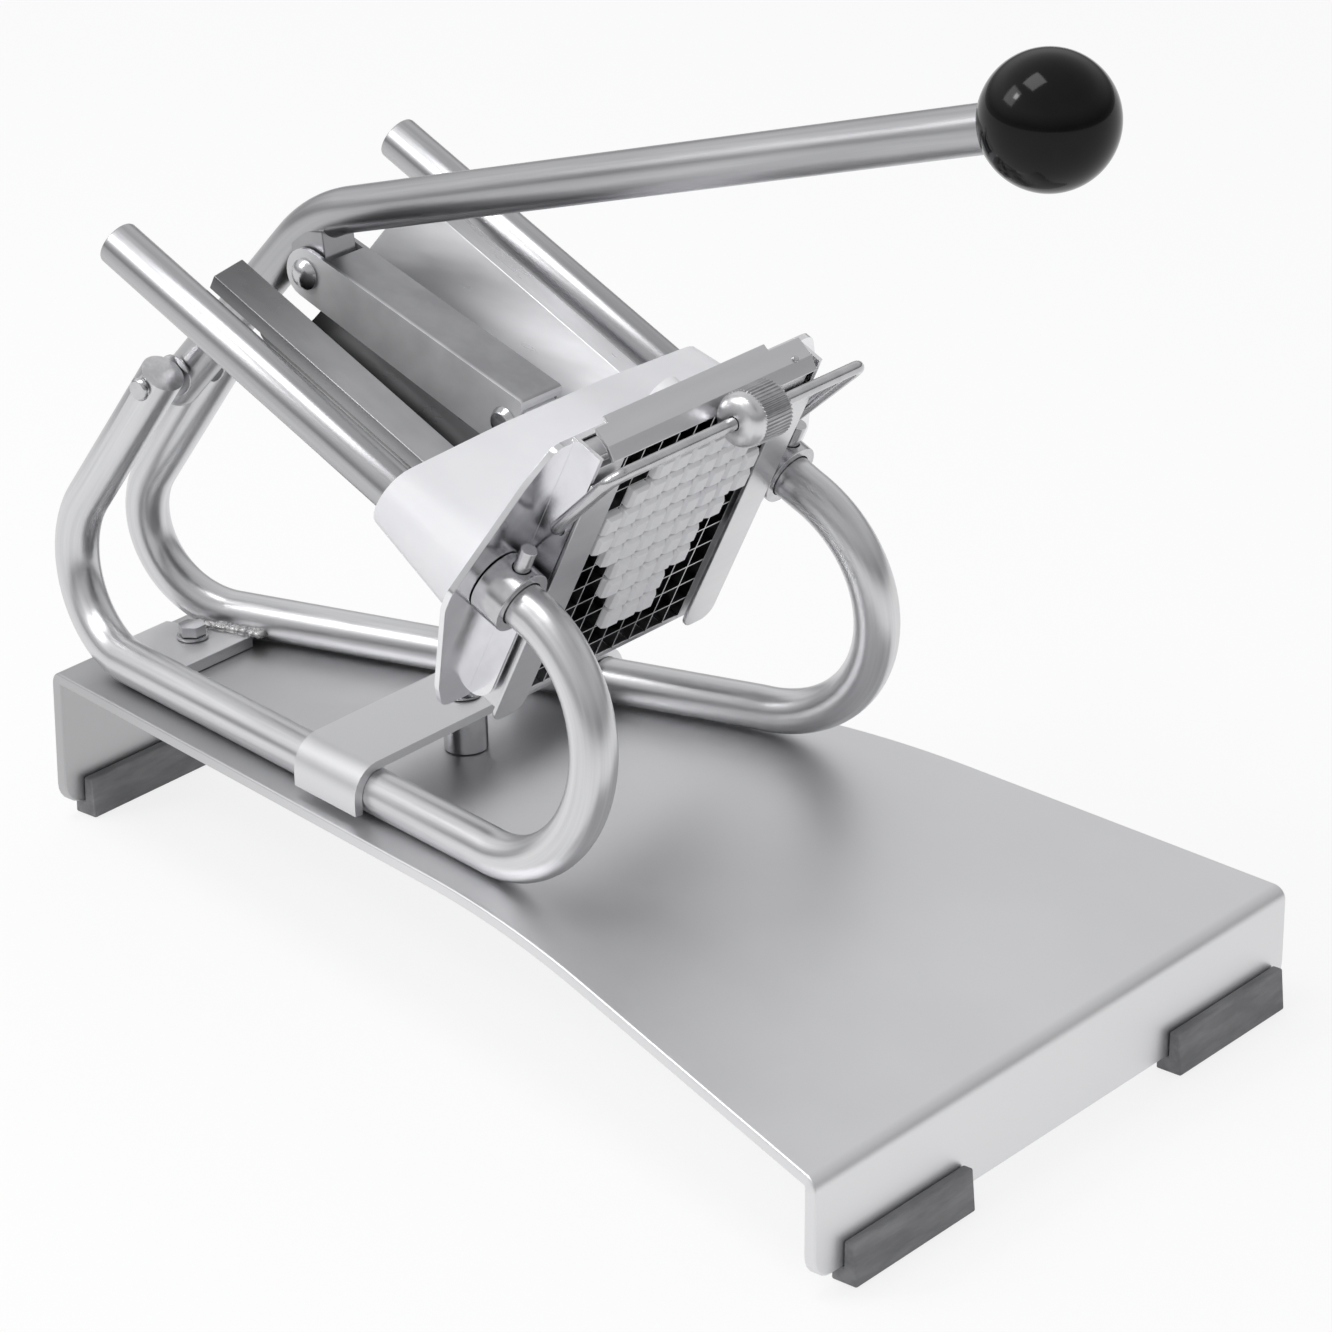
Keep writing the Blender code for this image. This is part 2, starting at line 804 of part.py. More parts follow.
def clean(outline):
    """Outline without repeated points."""
    result = []
    for point in outline:
        if not result or (Vector(point) - Vector(result[-1])).length > merge_distance:
            result.append(point)
    return result


def join(items):
    """One object that holds the separate bodies of several."""
    whole = bmesh.new()
    target = items[0]
    inverse = target.matrix_world.inverted()
    for item in items:
        mesh = item.data.copy()
        mesh.transform(inverse @ item.matrix_world)
        whole.from_mesh(mesh)
        bpy.data.meshes.remove(mesh)
    whole.to_mesh(target.data)
    whole.free()
    for item in items[1:]:
        bpy.data.objects.remove(item)
    return target


def build_cassette():
    low = grid_bottom - cassette_bar
    body = box((cassette_rear_s, -cassette_half, low), (cassette_front_s, cassette_half, grid_top),
               rod_frame)
    header = box((cassette_rear_s, -cassette_half, grid_top - cassette_bar),
                 (cassette_top_front_s, cassette_half, cassette_top), rod_frame)
    opening_half = cell * columns / 2 + blade + gap
    opening = box((cassette_rear_s - overrun, -opening_half, grid_bottom),
                  (cassette_front_s + overrun, opening_half, grid_top), rod_frame)
    finish(cut(add(body, header), opening), "cassette_frame", "satin_steel", False)
    profile = [(lip_low_s, lip_low_h), (lip_crease_s, lip_crease_h), (lip_rear_s, lip_rear_h)]
    lines = [[(s, side * lip_half, h) for s, h in profile] for _, side in sides]
    lip = bent_sheet(lines, lip_sheet, -1, rod_frame)
    for start, end in ((-lip_half - overrun, lip_tab_left), (lip_tab_right, lip_half + overrun)):
        notch = box((lip_rear_s - overrun, start, lip_low_h),
                    (lip_tab_s, end, lip_rear_h + overrun), rod_frame)
        cut(lip, notch)
    finish(lip, "cassette_top_strip", "satin_steel", False)


def build_bail():
    half = [(bail_s, bail_tip_half, bail_h), (bail_s, bail_leg_half, bail_h),
            (bail_top_s, bail_top_half, bail_top_h)]
    points = [Vector((s, -y, h)) for s, y, h in half] + [Vector(p) for p in reversed(half)]
    path = rounded(points, [0, bail_bend, bail_bend, bail_bend, bail_bend, 0], False,
                   2 * arc_step)
    wire = rod_through(path, wire_r, wire_resolution, rod_frame)
    hinge = on_rods(bail_s, 0, bail_h)
    hang(finish(wire, "retaining_bail", "polished_steel"), "bail_axis", hinge)
    build_knob()


def build_knob():
    near = knob_y - knob_length / 2
    far = knob_y + knob_length / 2
    centre_s = bail_top_s
    knurled = knob_length - knob_collar
    outline = []
    for index in range(2 * knurl_teeth):
        angle = math.pi * index / knurl_teeth
        radius = knob_r if index % 2 else knob_r - knurl_depth
        outline.append((radius * math.cos(angle), radius * math.sin(angle)))
    frame = Matrix.Translation((centre_s, far - knurled / 2, bail_top_h)) @ sideways
    knob = plate(outline, knurled, rod_frame @ frame)
    overlap = knob_collar + knurl_depth
    sleeve = cylinder(knob_collar_r, overlap, (centre_s, near + overlap / 2, bail_top_h),
                      rod_frame, turn_to_y)
    bore = cylinder(wire_r + gap, knob_length + 2 * overrun, (bail_top_s, knob_y, bail_top_h),
                    rod_frame, turn_to_y, small_sides)
    finish(cut(add(knob, sleeve), bore), "knurled_knob", "satin_steel")
    hang(knob, "knob_axis", on_rods(bail_top_s, 0, bail_top_h))


def carriage_outline(radius, crown):
    end = arc((rod_y, 0), radius, math.pi / 2, -math.pi / 2)
    half = [Vector((crown_half, radius + crown))] + end
    return half + [Vector((-p.x, p.y)) for p in reversed(half)]


def ram_outline(half_gap, top, radius):
    """V shaped section that runs inside the trough with a clearance."""
    slope = Vector((trough_edge_half, trough_edge_h - trough_apex_h)).normalized()
    drop = half_gap / slope.x
    return rounded([(-trough_edge_half + half_gap, top), (-trough_edge_half + half_gap,
                    trough_edge_h), (0, trough_apex_h + drop), (trough_edge_half - half_gap,
                    trough_edge_h), (trough_edge_half - half_gap, top)],
                   [0, 0, radius, 0, 0])


def loft(first, last):
    """Closed body between two equal rings of points."""
    item = mesh_object("loft")
    sketch = bmesh.new()
    rings = [[sketch.verts.new(point) for point in ring_points] for ring_points in (first, last)]
    count = len(first)
    for index in range(count):
        after = (index + 1) % count
        sketch.faces.new((rings[0][index], rings[0][after], rings[1][after], rings[1][index]))
    sketch.faces.new(reversed(rings[0]))
    sketch.faces.new(rings[1])
    bmesh.ops.recalc_face_normals(sketch, faces=sketch.faces)
    sketch.to_mesh(item.data)
    sketch.free()
    return item


def build_carriage():
    first = [(carriage_rear_s, p.x, p.y) for p in carriage_outline(carriage_rear_r, carriage_crown)]
    last = [(carriage_front_s, p.x, p.y) for p in carriage_outline(carriage_front_r, gap)]
    item = place(loft(first, last), rod_frame)
    deep = trough_apex_h
    under = box((carriage_rear_s - overrun, -arm_inner_half, deep),
                (carriage_front_s + overrun, arm_inner_half, arm_low_h), rod_frame)
    pocket = box((ram_front_s, -peg_pocket_half, deep),
                 (carriage_front_s + overrun, peg_pocket_half, carriage_front_r + overrun),
                 rod_frame)
    cut(item, under, pocket)
    length = ram_front_s - carriage_rear_s
    ram_frame = Matrix.Translation((carriage_rear_s + length / 2, 0, 0)) @ across_rods
    add(item, plate(ram_outline(ram_clear, ram_top_h, ram_radius), length, rod_frame @ ram_frame))
    root = carriage_rear_s + tongue_r
    tongue = arc((pin_link_s, pin_link_h), tongue_r, math.pi / 2, 3 * math.pi / 2)
    tongue += [Vector((root, pin_link_h - tongue_r)), Vector((root, pin_link_h + tongue_r))]
    add(item, plate(tongue, 2 * tongue_half, rod_frame @ sideways))
    for _, side in sides:
        length = carriage_front_s - carriage_rear_s + 2 * overrun
        middle = (carriage_front_s + carriage_rear_s) / 2
        cut(item, cylinder(bar_r + slide_gap, length, (middle, side * rod_y, 0), rod_frame,
                           turn_to_x))
    slide = on_rods(carriage_rear_s, 0, 0)
    hang(finish(item, "carriage", "white_plastic"), "carriage_axis", slide)
    hang(finish(peg_plate(), "peg_plate", "white_plastic", False), "peg_axis", slide)


def peg_plate():
    width = trough_edge_half - ram_clear
    low = trough_edge_h
    start = math.acos(width / peg_circle_r)
    stop = math.asin((peg_flat_h - peg_circle_h) / peg_circle_r)
    tab_start = math.asin((peg_flat_h - peg_tab_h) / peg_tab_r)
    top = arc((0, peg_circle_h), peg_circle_r, start, stop)
    top += arc((0, peg_tab_h), peg_tab_r, tab_start, math.pi - tab_start)
    top += arc((0, peg_circle_h), peg_circle_r, math.pi - stop, math.pi - start)
    slope = Vector((trough_edge_half, trough_edge_h - trough_apex_h)).normalized()
    apex = trough_apex_h + ram_clear / slope.x
    bottom = rounded([(-width, low), (0, apex), (width, low)], [0, ram_radius, 0], False)
    thickness = peg_plate_front_s - peg_plate_rear_s
    frame = Matrix.Translation((peg_plate_rear_s + thickness / 2, 0, 0)) @ across_rods
    item = plate(bottom + top, thickness, rod_frame @ frame)
    add(item, join([peg_at(y, h) for y, h in peg_places(width, apex)]))
    return item


def peg_places(width, apex):
    """Cells of the grid whose pegs stand wholly on the peg plate."""
    places = []
    half_angle = math.atan2(width, trough_edge_h - apex)
    round_h = apex + ram_radius / math.sin(half_angle)
    for row in range(peg_rows):
        h = grid_low_blade_h + cell / 2 + cell * row
        low = h - peg / 2 - peg_margin
        high = h + peg / 2 + peg_margin
        if low > round_h - ram_radius * math.sin(half_angle):
            room = min(width, (low - apex) * math.tan(half_angle))
        else:
            room = math.sqrt(max(0, ram_radius ** 2 - (low - round_h) ** 2))
        if high > peg_circle_h:
            room = min(room, math.sqrt(max(0, peg_circle_r ** 2 - (high - peg_circle_h) ** 2)))
        reach = math.floor((room - peg / 2 - peg_margin) / cell)
        for column in range(-reach, reach + 1):
            places.append((cell * column, h))
    return places


def peg_at(y, h):
    rear = peg_plate_front_s - peg_tip
    size = peg_tip_s - rear
    item = box((rear, y - peg / 2, h - peg / 2), (peg_tip_s, y + peg / 2, h + peg / 2), rod_frame)
    sketch = bmesh.new()
    sketch.from_mesh(item.data)
    front = [f for f in sketch.faces if f.normal.x > f.normal.length / 2]
    grown = bmesh.ops.extrude_discrete_faces(sketch, faces=front)["faces"]
    corners = [v for f in grown for v in f.verts]
    bmesh.ops.scale(sketch, vec=(1, peg_tip_share, peg_tip_share), verts=corners)
    for vertex in sketch.verts:
        if vertex not in corners and vertex.co.x > 0:
            vertex.co.x = size / 2 - peg_tip
    sketch.to_mesh(item.data)
    sketch.free()
    return item


def build_link():
    rise = pin_link_h - bolt_link_h
    run = pin_link_s - bolt_link_s
    length = math.hypot(rise, run)
    frame = Matrix.Translation(bolt_place) @ Matrix.Rotation(rod_slope - math.atan2(rise, run), 4, "Y")
    end = length + link_front_end
    front = link_front_half_height
    outline = arc((0, 0), link_rear_half_height, math.pi / 2, 3 * math.pi / 2)
    outline += rounded([(0, -link_rear_half_height), (end, -front), (end, front),
                        (0, link_rear_half_height)], [0, link_sheet, link_sheet, 0], False)[1:-1]
    item = plate(outline, 2 * link_half, frame @ sideways)
    inner = link_half - link_sheet
    under = box((-link_half - overrun, -inner, -front - overrun),
                (end + overrun, inner, link_rear_half_height - link_sheet), frame)
    behind = box((-link_half - overrun, -inner, -front),
                 (link_web_start, inner, front + overrun), frame)
    hole = cylinder(link_pin_r + gap, 2 * link_half + 2 * overrun, (0, 0, 0), frame, turn_to_y,
                    small_sides)
    front_hole = cylinder(link_pin_r + gap, 2 * link_half + 2 * overrun, (length, 0, 0), frame,
                          turn_to_y, small_sides)
    cut(item, under, behind, hole, front_hole)
    hang(finish(item, "link", "satin_steel"), "link_axis", bolt_place)
    for name, side in sides:
        seat = link_half + gap
        profile = [(0, dome_head), (dome_head_r * 0.7, dome_head * 0.7), (dome_head_r, 0),
                   (link_pin_r, 0), (link_pin_r, inner - seat + gap), (0, inner - seat + gap)]
        turn = Matrix.Rotation(-side * math.pi / 2, 4, "X")
        stub = turned(profile, (length, side * seat, 0), frame, turn, small_sides)
        stub = finish(stub, "link_pin_" + name, "polished_steel")
        hang(stub, "pin_axis_" + name, bolt_place)
    build_link_bolt(frame)


def build_link_bolt(frame):
    seat = link_half + gap
    bottom = -2 * seat - nut_t
    profile = [(0, dome_head), (dome_head_r * 0.7, dome_head * 0.75), (dome_head_r, dome_head * 0.2),
               (dome_head_r, 0), (link_pin_r, 0), (link_pin_r, bottom), (0, bottom)]
    turn = Matrix.Rotation(math.pi / 2, 4, "X")
    bolt = turned(profile, (0, -seat, 0), frame, turn, small_sides)
    hang(finish(bolt, "link_bolt", "polished_steel"), "bolt_axis", pivot)
    middle = seat + gap + nut_t / 2
    nut = hexagon(bolt_flats, nut_t, (0, middle, 0), frame, turn_to_y)
    hole = cylinder(link_pin_r + gap, nut_t + overrun, (0, middle, 0), frame, turn_to_y,
                    small_sides)
    hang(finish(cut(nut, hole), "link_nut", "polished_steel"), "nut_axis", pivot)


def lever_path():
    low = Vector((math.cos(lever_low_angle), math.sin(lever_low_angle)))
    high = Vector((math.cos(lever_high_angle), math.sin(lever_high_angle)))
    origin = Vector((pivot_x, pivot_z))
    corner = origin + low * lever_corner_length
    end = corner + high * lever_reach
    tail = origin - low * (lever_low_end - bar_r)
    points = []
    widths = []
    for index in range(5):
        angle = math.pi / 2 * index / 4
        points.append(tail - low * bar_r * math.cos(angle))
        widths.append(max(math.sin(angle), merge_distance / bar_r))
    bend = rounded([tail, corner, end], [0, lever_bend_radius, 0], False, bend_step / 2)
    points += bend[1:]
    widths += [1] * (len(bend) - 1)
    return [Vector((p.x, 0, p.y)) for p in points], widths, end


def build_lever():
    points, widths, end = lever_path()
    item = rod_through(points, bar_r, tube_resolution, widths=widths)
    low = Vector((math.cos(lever_low_angle), math.sin(lever_low_angle)))
    corner = Vector((pivot_x, pivot_z)) + low * lever_corner_length
    bolt = Vector((bolt_place.x, bolt_place.z))
    up = (corner - bolt).normalized()
    angle = math.atan2(up.y, up.x)
    reach = (corner - bolt).length - bar_r / 2
    outline = arc(bolt, lug_r, angle + math.pi / 2, angle + 3 * math.pi / 2)
    side = Vector((up.y, -up.x)) * lug_r
    outline += [bolt + up * reach + side, bolt + up * reach - side]
    lug = plate(outline, 2 * lug_half - 2 * gap, sideways)
    add(item, lug)
    wide = bar_d + 2 * overrun
    cut(item, cylinder(link_pin_r + gap, wide, bolt_place, turn=turn_to_y, count=small_sides),
        cylinder(pivot_pin_r + gap, wide, pivot, turn=turn_to_y, count=small_sides))
    hang(finish(item, "lever", "satin_steel"), "lever_axis", pivot)
    build_ball(end)
    build_pivot()


def build_ball(end):
    high = Vector((math.cos(lever_high_angle), math.sin(lever_high_angle)))
    bpy.ops.mesh.primitive_uv_sphere_add(segments=ball_sides, ring_count=ball_rings, radius=ball_r)
    tilt = Matrix.Rotation(math.pi / 2 - lever_high_angle, 4, "Y")
    ball = place(bpy.context.object, Matrix.Translation((end.x, 0, end.y)), turn=tilt)
    length = ball_r + ball_bore
    middle = end - high * (length / 2 - ball_bore)
    bore = cylinder(bar_r + gap, length, (middle.x, 0, middle.y), turn=tilt)
    hang(finish(cut(ball, bore), "ball_grip", "black_plastic"), "ball_axis", pivot)


def build_pivot():
    outer = top_y + bar_r + gap
    length = 2 * outer + 2 * pivot_head
    profile = [(0, length / 2), (pivot_head_r * 0.8, length / 2),
               (pivot_head_r, length / 2 - pivot_head / 2), (pivot_head_r, outer),
               (pivot_pin_r, outer), (pivot_pin_r, -outer), (pivot_head_r, -outer),
               (pivot_head_r, -length / 2 + pivot_head / 2),
               (pivot_head_r * 0.8, -length / 2), (0, -length / 2)]
    pin = turned(profile, pivot, turn=turn_to_y, count=small_sides)
    finish(pin, "pivot_pin", "polished_steel")
    room = top_y - 2 * bar_r
    for name, side in sides:
        middle = side * top_y / 2
        washer = ring(spacer_r, pivot_pin_r + gap, room - 2 * gap, (pivot_x, middle, pivot_z),
                      turn=turn_to_y, count=small_sides)
        finish(washer, "pivot_washer_" + name, "polished_steel")


def hang(item, name, point):
    """Parents a moving piece to an empty on its joint axis, where it already stands."""
    empty = bpy.data.objects.new(name, None)
    empty.location = point
    empty.empty_display_size = bar_r
    parts.objects.link(empty)
    item.parent = empty
    item.matrix_parent_inverse = Matrix.Translation(point).inverted()
    return item


build_base()
build_foot("foot_front_left", base_front_x, foot_left_inset - base_front_half, 1)
build_foot("foot_front_right", base_front_x, base_front_half - foot_right_inset, 1)
build_foot("foot_rear", base_rear_x, foot_rear_y, -1)
build_frame_tubes()
build_rear_fixing()
build_strap()
build_head_plate()
build_guide_strips()
build_collars_and_rods()
build_trough()
build_grid()
build_cassette()
build_bail()
build_carriage()
build_link()
build_lever()
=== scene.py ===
import json
import math
import bpy
import bmesh
from mathutils import Matrix, Vector

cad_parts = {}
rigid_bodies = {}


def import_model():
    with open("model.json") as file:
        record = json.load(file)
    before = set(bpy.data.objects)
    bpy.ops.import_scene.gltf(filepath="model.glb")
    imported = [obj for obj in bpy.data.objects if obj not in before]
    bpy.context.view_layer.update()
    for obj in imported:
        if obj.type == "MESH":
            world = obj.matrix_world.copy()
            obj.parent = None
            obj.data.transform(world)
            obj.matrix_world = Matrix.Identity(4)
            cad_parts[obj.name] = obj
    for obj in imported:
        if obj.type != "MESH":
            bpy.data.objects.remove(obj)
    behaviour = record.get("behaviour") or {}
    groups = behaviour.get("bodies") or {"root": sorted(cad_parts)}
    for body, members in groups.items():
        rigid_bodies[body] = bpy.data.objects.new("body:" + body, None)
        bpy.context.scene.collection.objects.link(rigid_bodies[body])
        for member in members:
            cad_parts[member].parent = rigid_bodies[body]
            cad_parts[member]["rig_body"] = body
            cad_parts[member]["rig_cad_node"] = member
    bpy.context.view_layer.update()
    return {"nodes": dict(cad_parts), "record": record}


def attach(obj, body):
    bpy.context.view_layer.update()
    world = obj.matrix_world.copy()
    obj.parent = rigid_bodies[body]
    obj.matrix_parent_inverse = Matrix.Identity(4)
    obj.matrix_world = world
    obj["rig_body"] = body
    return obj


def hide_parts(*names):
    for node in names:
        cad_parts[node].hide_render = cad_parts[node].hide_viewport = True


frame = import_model()
nodes = frame["nodes"]
record = frame["record"]
bodyOf = {node: body for body, members in record["behaviour"]["bodies"].items()
          for node in members}
slotOf = {entry["node"]: entry["material_slot"] for entry in record["subparts"]}
bpy.ops.object.select_all(action="DESELECT")
print("frame loaded with", len(nodes), "nodes")

# camera at the photographed angle
cameraView = {"place": (1.2431, -1.4496, 0.9874), "tilt": 65.62, "heading": 39.356,
              "lens": 148.1, "sensor": 36.0, "farthest": 20.0}
bpy.ops.object.camera_add(location=cameraView["place"],
                          rotation=(math.radians(cameraView["tilt"]), 0,
                                    math.radians(cameraView["heading"])))
photoCamera = bpy.context.object
photoCamera.name = "photoCamera"
photoCamera.data.lens = cameraView["lens"]
photoCamera.data.sensor_width = cameraView["sensor"]
photoCamera.data.clip_end = cameraView["farthest"]
bpy.context.scene.camera = photoCamera
bpy.context.scene.view_settings.view_transform = "Standard"

# the guide rods' frame: x along the rods from their rear ends, z square to them and up
rodFrame = {"rear": (-0.1480, 0, 0.2822), "slope": 25.0}
onRods = (Matrix.Translation(rodFrame["rear"])
          @ Matrix.Rotation(math.radians(rodFrame["slope"]), 4, "Y"))


# effects that the materials share

def newGroup(name, inputs, outputs):
    group = bpy.data.node_groups.new(name, "ShaderNodeTree")
    for label, kind, value in inputs:
        socket = group.interface.new_socket(name=label, in_out="INPUT", socket_type=kind)
        socket.default_value = value
    for label, kind in outputs:
        group.interface.new_socket(name=label, in_out="OUTPUT", socket_type=kind)
    start = group.nodes.new("NodeGroupInput")
    end = group.nodes.new("NodeGroupOutput")
    return group, start, end


def addNode(tree, kind, **values):
    node = tree.nodes.new(kind)
    for key, value in values.items():
        setattr(node, key, value)
    return node


noiseShape = {"detail": 3.0, "roughness": 0.55, "low": 0.35, "high": 0.65}


def stretchedNoise():
    # noise drawn out along one axis, for brushing, rolling marks and soft clouds
    group, start, end = newGroup(
        "stretchedNoise",
        [("Place", "NodeSocketVector", (0, 0, 0)), ("Stretch", "NodeSocketVector", (1, 1, 1)),
         ("Scale", "NodeSocketFloat", 60.0)],
        [("Mask", "NodeSocketFloat")])
    draw = addNode(group, "ShaderNodeVectorMath", operation="MULTIPLY")
    noise = addNode(group, "ShaderNodeTexNoise")
    noise.inputs["Detail"].default_value = noiseShape["detail"]
    noise.inputs["Roughness"].default_value = noiseShape["roughness"]
    spread = addNode(group, "ShaderNodeMapRange")
    spread.inputs["From Min"].default_value = noiseShape["low"]
    spread.inputs["From Max"].default_value = noiseShape["high"]
    link = group.links.new
    link(start.outputs["Place"], draw.inputs[0])
    link(start.outputs["Stretch"], draw.inputs[1])
    link(draw.outputs["Vector"], noise.inputs["Vector"])
    link(start.outputs["Scale"], noise.inputs["Scale"])
    link(noise.outputs["Fac"], spread.inputs["Value"])
    link(spread.outputs["Result"], end.inputs["Mask"])
    return group


def tonedColour():
    # blends two colours by a mask
    group, start, end = newGroup(
        "tonedColour",
        [("Mask", "NodeSocketFloat", 0.5), ("Dark", "NodeSocketColor", (0.5, 0.5, 0.5, 1)),
         ("Light", "NodeSocketColor", (0.6, 0.6, 0.6, 1))],
        [("Color", "NodeSocketColor")])
    mix = addNode(group, "ShaderNodeMix", data_type="RGBA")
    group.links.new(start.outputs["Mask"], mix.inputs["Factor"])
    group.links.new(start.outputs["Dark"], mix.inputs[6])
    group.links.new(start.outputs["Light"], mix.inputs[7])
    group.links.new(mix.outputs[2], end.inputs["Color"])
    return group


noiseGroup = stretchedNoise()
toneGroup = tonedColour()


def placeNoise(tree, place, stretch, scale):
    node = addNode(tree, "ShaderNodeGroup", node_tree=noiseGroup)
    tree.links.new(place, node.inputs["Place"])
    node.inputs["Stretch"].default_value = stretch
    node.inputs["Scale"].default_value = scale
    return node.outputs["Mask"]


# every finish: two tones and two roughness values that a cloud blends, how much it is metal,
# the cloud's and the grain's stretch and scale, and the grain's depth and strength
# "along" reads a bar's own lengthwise places, and each band of painted light and shade tones
# the colour along a direction of the rods' frame, from one place to another and from one
# factor to another
finishes = {
    "satinBar": {"dark": (0.42, 0.42, 0.435), "light": (0.51, 0.51, 0.52), "rough": (0.28, 0.34),
                 "metal": 1.0, "cloud": ((0.03, 1, 1), 330.0), "grain": ((0.04, 1, 1), 1200.0),
                 "depth": 0.00001, "fine": 0.06, "along": "barPlace"},
    # a lighter copy of the same satin steel for the frame tubes, as painted light
    "litSatinBar": {"dark": (0.62, 0.62, 0.635), "light": (0.74, 0.74, 0.75), "rough": (0.28, 0.36),
                  "metal": 1.0, "cloud": ((0.03, 1, 1), 330.0), "grain": ((0.04, 1, 1), 1200.0),
                  "depth": 0.00001, "fine": 0.06, "along": "barPlace"},
    "blastedSheet": {"dark": (0.755, 0.755, 0.77), "light": (0.80, 0.80, 0.81),
                     "rough": (0.40, 0.47), "metal": 1.0, "cloud": ((1, 1, 1), 9.0),
                     "grain": ((1, 1, 1), 1600.0), "depth": 0.00002, "fine": 0.35},
    "litAndShadedTroughSheet": {"dark": (0.62, 0.62, 0.635), "light": (0.72, 0.72, 0.74),
                    "rough": (0.26, 0.38), "metal": 0.70, "cloud": ((0.12, 1, 1), 60.0),
                    "grain": ((1, 1, 1), 1200.0), "depth": 0.00001, "fine": 0.1,
                    # painted shade: darker deep in the trough, on its near wall and towards its
                    # rear; painted reflection: brighter on its far wall
                    "shades": (((0, 0, 1), -0.045, 0.004, 0.12, 1.0),
                               ((0, 1, 0), -0.020, 0.020, 0.62, 1.32),
                               ((1, 0, 0), 0.040, 0.110, 0.45, 1.0))},
    # the link's web: a darker copy of its one sheet, as painted shade
    "shadedLinkSheet": {"dark": (0.34, 0.34, 0.355), "light": (0.41, 0.41, 0.42),
                  "rough": (0.30, 0.38), "metal": 1.0, "cloud": ((1, 1, 1), 70.0),
                  "grain": ((1, 1, 1), 900.0), "depth": 0.00001, "fine": 0.2,
                  # painted highlight: a bright band along the near folded edge of the web
                  "shades": (((0, 1, 0), -0.0119, -0.0098, 2.3, 1.0),)},
    # the link's flanks lighter, as painted light, and its folds brightest, as a painted highlight
    "litLinkFlank": {"dark": (0.64, 0.64, 0.65), "light": (0.72, 0.72, 0.73),
                  "rough": (0.38, 0.46), "metal": 0.35, "cloud": ((1, 1, 1), 70.0),
                  "grain": ((1, 1, 1), 900.0), "depth": 0.00001, "fine": 0.2},
    "foldHighlight": {"dark": (0.88, 0.88, 0.89), "light": (0.94, 0.94, 0.95),
                 "rough": (0.28, 0.34), "metal": 0.20, "cloud": ((1, 1, 1), 70.0),
                 "grain": ((1, 1, 1), 900.0), "depth": 0.00001, "fine": 0.2},
    "mirrorSheet": {"dark": (0.78, 0.78, 0.80), "light": (0.90, 0.90, 0.92),
                    "rough": (0.12, 0.24), "metal": 1.0, "cloud": ((1, 1, 1), 35.0),
                    "grain": ((1, 1, 1), 60.0), "depth": 0.00004, "fine": 0.25},
    "brushedSheet": {"dark": (0.65, 0.65, 0.665), "light": (0.73, 0.73, 0.74),
                     "rough": (0.28, 0.34), "metal": 1.0, "cloud": ((1, 0.1, 1), 60.0),
                     "grain": ((1, 0.05, 1), 2400.0), "depth": 0.00001, "fine": 0.15},
    "polishedFitting": {"dark": (0.50, 0.50, 0.515), "light": (0.60, 0.60, 0.615),
                        "rough": (0.16, 0.26), "metal": 1.0, "cloud": ((1, 1, 1), 120.0),
                        "grain": ((1, 1, 1), 1500.0), "depth": 0.00001, "fine": 0.15},
    "knurledSteel": {"dark": (0.40, 0.40, 0.41), "light": (0.53, 0.53, 0.54),
                     "rough": (0.30, 0.42), "metal": 1.0, "cloud": ((1, 1, 1), 160.0),
                     "grain": ((1, 1, 1), 900.0), "depth": 0.00002, "fine": 0.3},
    # one steel for the knife grid in a lit and a shaded copy: front edges lighter, as painted
    # light, and flanks near black, as painted shade
    "litKnifeEdge": {"dark": (0.62, 0.62, 0.635), "light": (0.80, 0.80, 0.81),
                  "rough": (0.30, 0.42), "metal": 1.0, "cloud": ((1, 1, 1), 240.0),
                  "grain": ((1, 1, 1), 1500.0), "depth": 0.00001, "fine": 0.2},
    "shadedKnifeFlank": {"dark": (0.05, 0.05, 0.053), "light": (0.11, 0.11, 0.115),
                   "rough": (0.35, 0.50), "metal": 1.0, "cloud": ((1, 1, 1), 120.0),
                   "grain": ((1, 1, 1), 1500.0), "depth": 0.00001, "fine": 0.2},
    "weldMetal": {"dark": (0.38, 0.38, 0.39), "light": (0.66, 0.65, 0.64),
                  "rough": (0.18, 0.34), "metal": 1.0, "cloud": ((1, 1, 1), 420.0),
                  "grain": ((1, 1, 1), 700.0), "depth": 0.0002, "fine": 0.8},
    "whiteMoulding": {"dark": (0.80, 0.80, 0.83), "light": (0.84, 0.84, 0.86),
                      "rough": (0.38, 0.46), "metal": 0.0, "cloud": ((1, 1, 1), 30.0),
                      "grain": ((1, 1, 1), 1400.0), "depth": 0.00002, "fine": 0.3},
    "pegMoulding": {"dark": (0.92, 0.92, 0.94), "light": (0.95, 0.95, 0.96),
                    "rough": (0.34, 0.42), "metal": 0.0, "cloud": ((1, 1, 1), 30.0),
                    "grain": ((1, 1, 1), 1400.0), "depth": 0.00002, "fine": 0.3},
    "blackMoulding": {"dark": (0.003, 0.003, 0.0035), "light": (0.006, 0.0055, 0.006),
                      "rough": (0.06, 0.12), "metal": 0.0, "cloud": ((1, 1, 1), 60.0),
                      "grain": ((1, 1, 1), 300.0), "depth": 0.00001, "fine": 0.1,
                      "specular": 0.20},
    "greyRubber": {"dark": (0.185, 0.185, 0.192), "light": (0.29, 0.29, 0.298),
                   "rough": (0.62, 0.80), "metal": 0.0, "cloud": ((1, 0.2, 1), 160.0),
                   "grain": ((1, 0.4, 1), 900.0), "depth": 0.0001, "fine": 0.8},
}
# the base plate's sheet, darker towards its rear as painted shade
finishes["shadedBaseSheet"] = {**finishes["blastedSheet"],
                         "shades": (((1, 0, 0), 0.050, 0.230, 0.66, 1.0),)}


